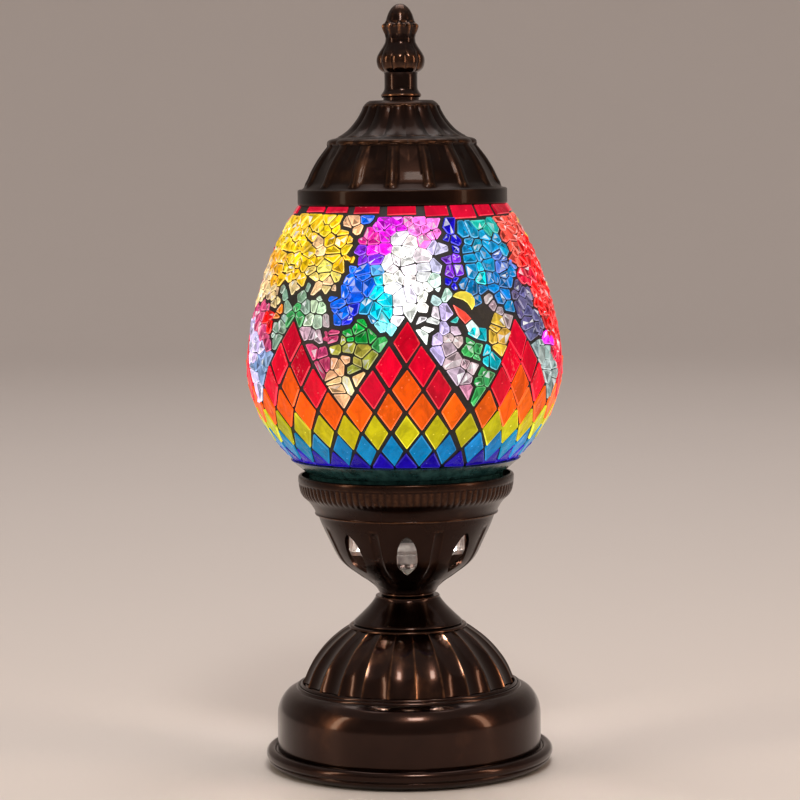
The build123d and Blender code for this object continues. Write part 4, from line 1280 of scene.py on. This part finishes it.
class LAMP_OT_hardware(bpy.types.Operator):
    """Finishes of the bulb, the holder, the harp and the underside"""

    bl_idname = "lamp.hardware"
    bl_label = "Bulb and Hardware"

    def execute(self, context):
        for finish, nodes in (
            (
                worn("zinc_plated_steel", (0.42, 0.42, 0.44), (0.62, 0.62, 0.63), 0.35, 1.0, depth=0.1),
                ("stem_tube", "stem_washers", "stem_nuts", "harp_saddle", "saddle_nuts", "harp_rods",
                 "harp_bridge", "finial_stud", "stud_nuts", "bottom_cover", "cover_screws"),
            ),
            (
                worn("black_rubber", (0.012, 0.012, 0.013), (0.03, 0.03, 0.03), 0.6, depth=0.25),
                ("glass_gasket", "cap_gasket", "cord_grommet"),
            ),
            (
                worn("bare_brass", (0.5, 0.33, 0.12), (0.75, 0.55, 0.26), 0.3, 1.0, depth=0.1),
                ("holder_shell", "holder_contact", "holder_terminals"),
            ),
            (
                worn("cast_iron", (0.03, 0.03, 0.032), (0.09, 0.085, 0.08), 0.7, 0.6, depth=0.7, grain=500.0),
                ("base_weight",),
            ),
            (
                worn("black_felt", (0.008, 0.008, 0.009), (0.03, 0.03, 0.033), 0.95, depth=0.9, grain=1600.0),
                ("felt_pad",),
            ),
            (
                worn("black_phenolic", (0.01, 0.01, 0.011), (0.022, 0.02, 0.02), 0.25, depth=0.08),
                ("holder_base", "holder_sleeve", "bulb_insulator"),
            ),
            (
                worn("glazed_ceramic", (0.72, 0.7, 0.64), (0.85, 0.83, 0.78), 0.2, depth=0.06),
                ("holder_core",),
            ),
            (
                worn("nickel_plate", (0.55, 0.55, 0.53), (0.75, 0.74, 0.71), 0.25, 1.0, depth=0.1),
                ("bulb_tip", "bulb_cap"),
            ),
        ):
            give(finish, *nodes)
        give(bronze("dark_bronze_washer"), "finial_washer")
        give(glowing("lit_bulb_glass", (1.0, 0.86, 0.66), 16.0), "bulb_glass")
        give(glowing("lit_filament", (1.0, 0.8, 0.5), 20.0), "bulb_filaments")
        clear, tree, shader = new_material("clear_globe_glass", Transmission_Weight=1.0, IOR=1.5)
        place = own_place(tree)
        cloud = noise(tree, place, 40.0, 3.0)
        tinge = mix_colour(tree, cloud, (0.86, 0.93, 0.92, 1), (0.97, 0.99, 0.98, 1))
        tree.links.new(tinge, shader.inputs["Base Color"])
        tree.links.new(ramp(tree, cloud, 0.0, 1.0, 0.02, 0.12), shader.inputs["Roughness"])
        give(clear, "glass_globe", "bulb_mount")
        return {"FINISHED"}


class LAMP_OT_stage(bpy.types.Operator):
    """Floor, soft light and camera"""

    bl_idname = "lamp.stage"
    bl_label = "Stage"

    def execute(self, context):
        settings = context.scene.lamp_stage
        alone()
        flat, curve = 2400, 1200
        turns = [math.radians(a) for a in range(0, 91, 6)]
        sweep = plain(
            (0.0, 0.0), *((flat + curve * math.sin(a), curve * (1 - math.cos(a))) for a in turns),
            (3600.0, 3600.0),
        )
        floor = spun("floor", sweep, 96, closed=False, crease=80.0)
        made, tree, shader = new_material("matt_floor", Roughness=0.55)
        place = own_place(tree)
        cloud = noise(tree, place, 3.0, 4.0)
        base = settings.floor_colour
        shaded = mix_colour(tree, cloud, (*[0.97 * c for c in base], 1), (*base, 1))
        tree.links.new(shaded, shader.inputs["Base Color"])
        floor.data.materials.append(made)

        world = bpy.data.worlds.new("soft_sky")
        context.scene.world = world
        world.use_nodes = True
        back = world.node_tree.nodes["Background"]
        back.inputs["Strength"].default_value = settings.sky
        back.inputs["Color"].default_value = (1.0, 0.9, 0.85, 1)

        def soft_box(name, place, aim, width, tall, share, colour):
            """Rectangular soft light with a share of the key power."""
            data = bpy.data.lights.new(name, "AREA")
            data.shape = "RECTANGLE"
            data.size, data.size_y = width, tall
            data.energy = settings.key_power * share
            data.color = colour
            light = bpy.data.objects.new(name, data)
            context.scene.collection.objects.link(light)
            light.location = place
            light.rotation_euler = (Vector(aim) - Vector(place)).to_track_quat("-Z", "Y").to_euler()

        soft_box("key_light", (0.1, -0.75, 1.0), (0, 0, 0.05), 0.22, 0.22, 0.45, (1.0, 0.94, 0.86))
        soft_box("right_light", (0.95, -0.35, 0.45), (0, 0, 0.14), 0.12, 0.8, 0.3, (1.0, 0.72, 0.5))
        soft_box("left_light", (-0.95, -0.4, 0.45), (0, 0, 0.14), 0.12, 0.8, 0.3, (1.0, 0.82, 0.6))
        soft_box("top_light", (0.0, 0.6, 2.2), (0, 0.2, 0.1), 1.6, 1.6, 2.2, (1.0, 0.95, 0.92))

        # light of the bulb that falls into the cup, between the harp's rods
        out_from_stem, height = 0.027, 0.108
        for i in range(4):
            data = bpy.data.lights.new("spill_light", "POINT")
            data.energy, data.color, data.shadow_soft_size = 0.12, (1.0, 0.9, 0.78), 0.004
            light = bpy.data.objects.new("spill_light", data)
            context.scene.collection.objects.link(light)
            around = math.radians(45 + 90 * i)
            light.location = (out_from_stem * math.sin(around), -out_from_stem * math.cos(around), height)

        lens = bpy.data.cameras.new("camera")
        lens.lens = 130.5
        lens.sensor_width = 36.0
        camera = bpy.data.objects.new("camera", lens)
        context.scene.collection.objects.link(camera)
        camera.location = (0.0, -1.1985, 0.2563)
        aim, down, roll = (math.radians(angle) for angle in (0.10, 90 - 4.95, -0.76))
        turn = Matrix.Rotation(aim, 4, "Z") @ Matrix.Rotation(down, 4, "X")
        camera.rotation_euler = (turn @ Matrix.Rotation(roll, 4, "Z")).to_euler()
        context.scene.camera = camera
        context.scene.view_settings.view_transform = "Standard"
        return {"FINISHED"}


class LAMP_PT_panel(bpy.types.Panel):
    """Sizes, colours and the steps that build the lamp"""

    bl_idname = "LAMP_PT_panel"
    bl_label = "Mosaic Glass Lamp"
    bl_space_type = "VIEW_3D"
    bl_region_type = "UI"
    bl_category = "Lamp"

    def draw(self, context):
        layout = self.layout
        for holder in ("lamp_metal", "lamp_glass", "lamp_stage"):
            box = layout.box()
            group = getattr(context.scene, holder)
            for name in group.__annotations__:
                box.prop(group, name)
        for operator in operators:
            layout.operator(operator.bl_idname)


operators = (
    LAMP_OT_foot, LAMP_OT_dome, LAMP_OT_cup, LAMP_OT_cap, LAMP_OT_finial, LAMP_OT_tiles,
    LAMP_OT_crackle, LAMP_OT_grout, LAMP_OT_hardware, LAMP_OT_stage,
)
classes = (LampMetalSizes, LampGlassSizes, LampStageSettings, *operators, LAMP_PT_panel)


def register():
    for item in classes:
        bpy.utils.register_class(item)
    bpy.types.Scene.lamp_metal = bpy.props.PointerProperty(type=LampMetalSizes)
    bpy.types.Scene.lamp_glass = bpy.props.PointerProperty(type=LampGlassSizes)
    bpy.types.Scene.lamp_stage = bpy.props.PointerProperty(type=LampStageSettings)


def unregister():
    del bpy.types.Scene.lamp_stage
    del bpy.types.Scene.lamp_glass
    del bpy.types.Scene.lamp_metal
    for item in reversed(classes):
        bpy.utils.unregister_class(item)


def main():
    register()
    bpy.ops.lamp.stage()
    bpy.ops.lamp.foot()
    bpy.ops.lamp.dome()
    bpy.ops.lamp.cup()
    bpy.ops.lamp.cap()
    bpy.ops.lamp.finial()
    bpy.ops.lamp.tiles()
    bpy.ops.lamp.crackle()
    bpy.ops.lamp.grout()
    bpy.ops.lamp.hardware()


if __name__ == "__main__":
    main()
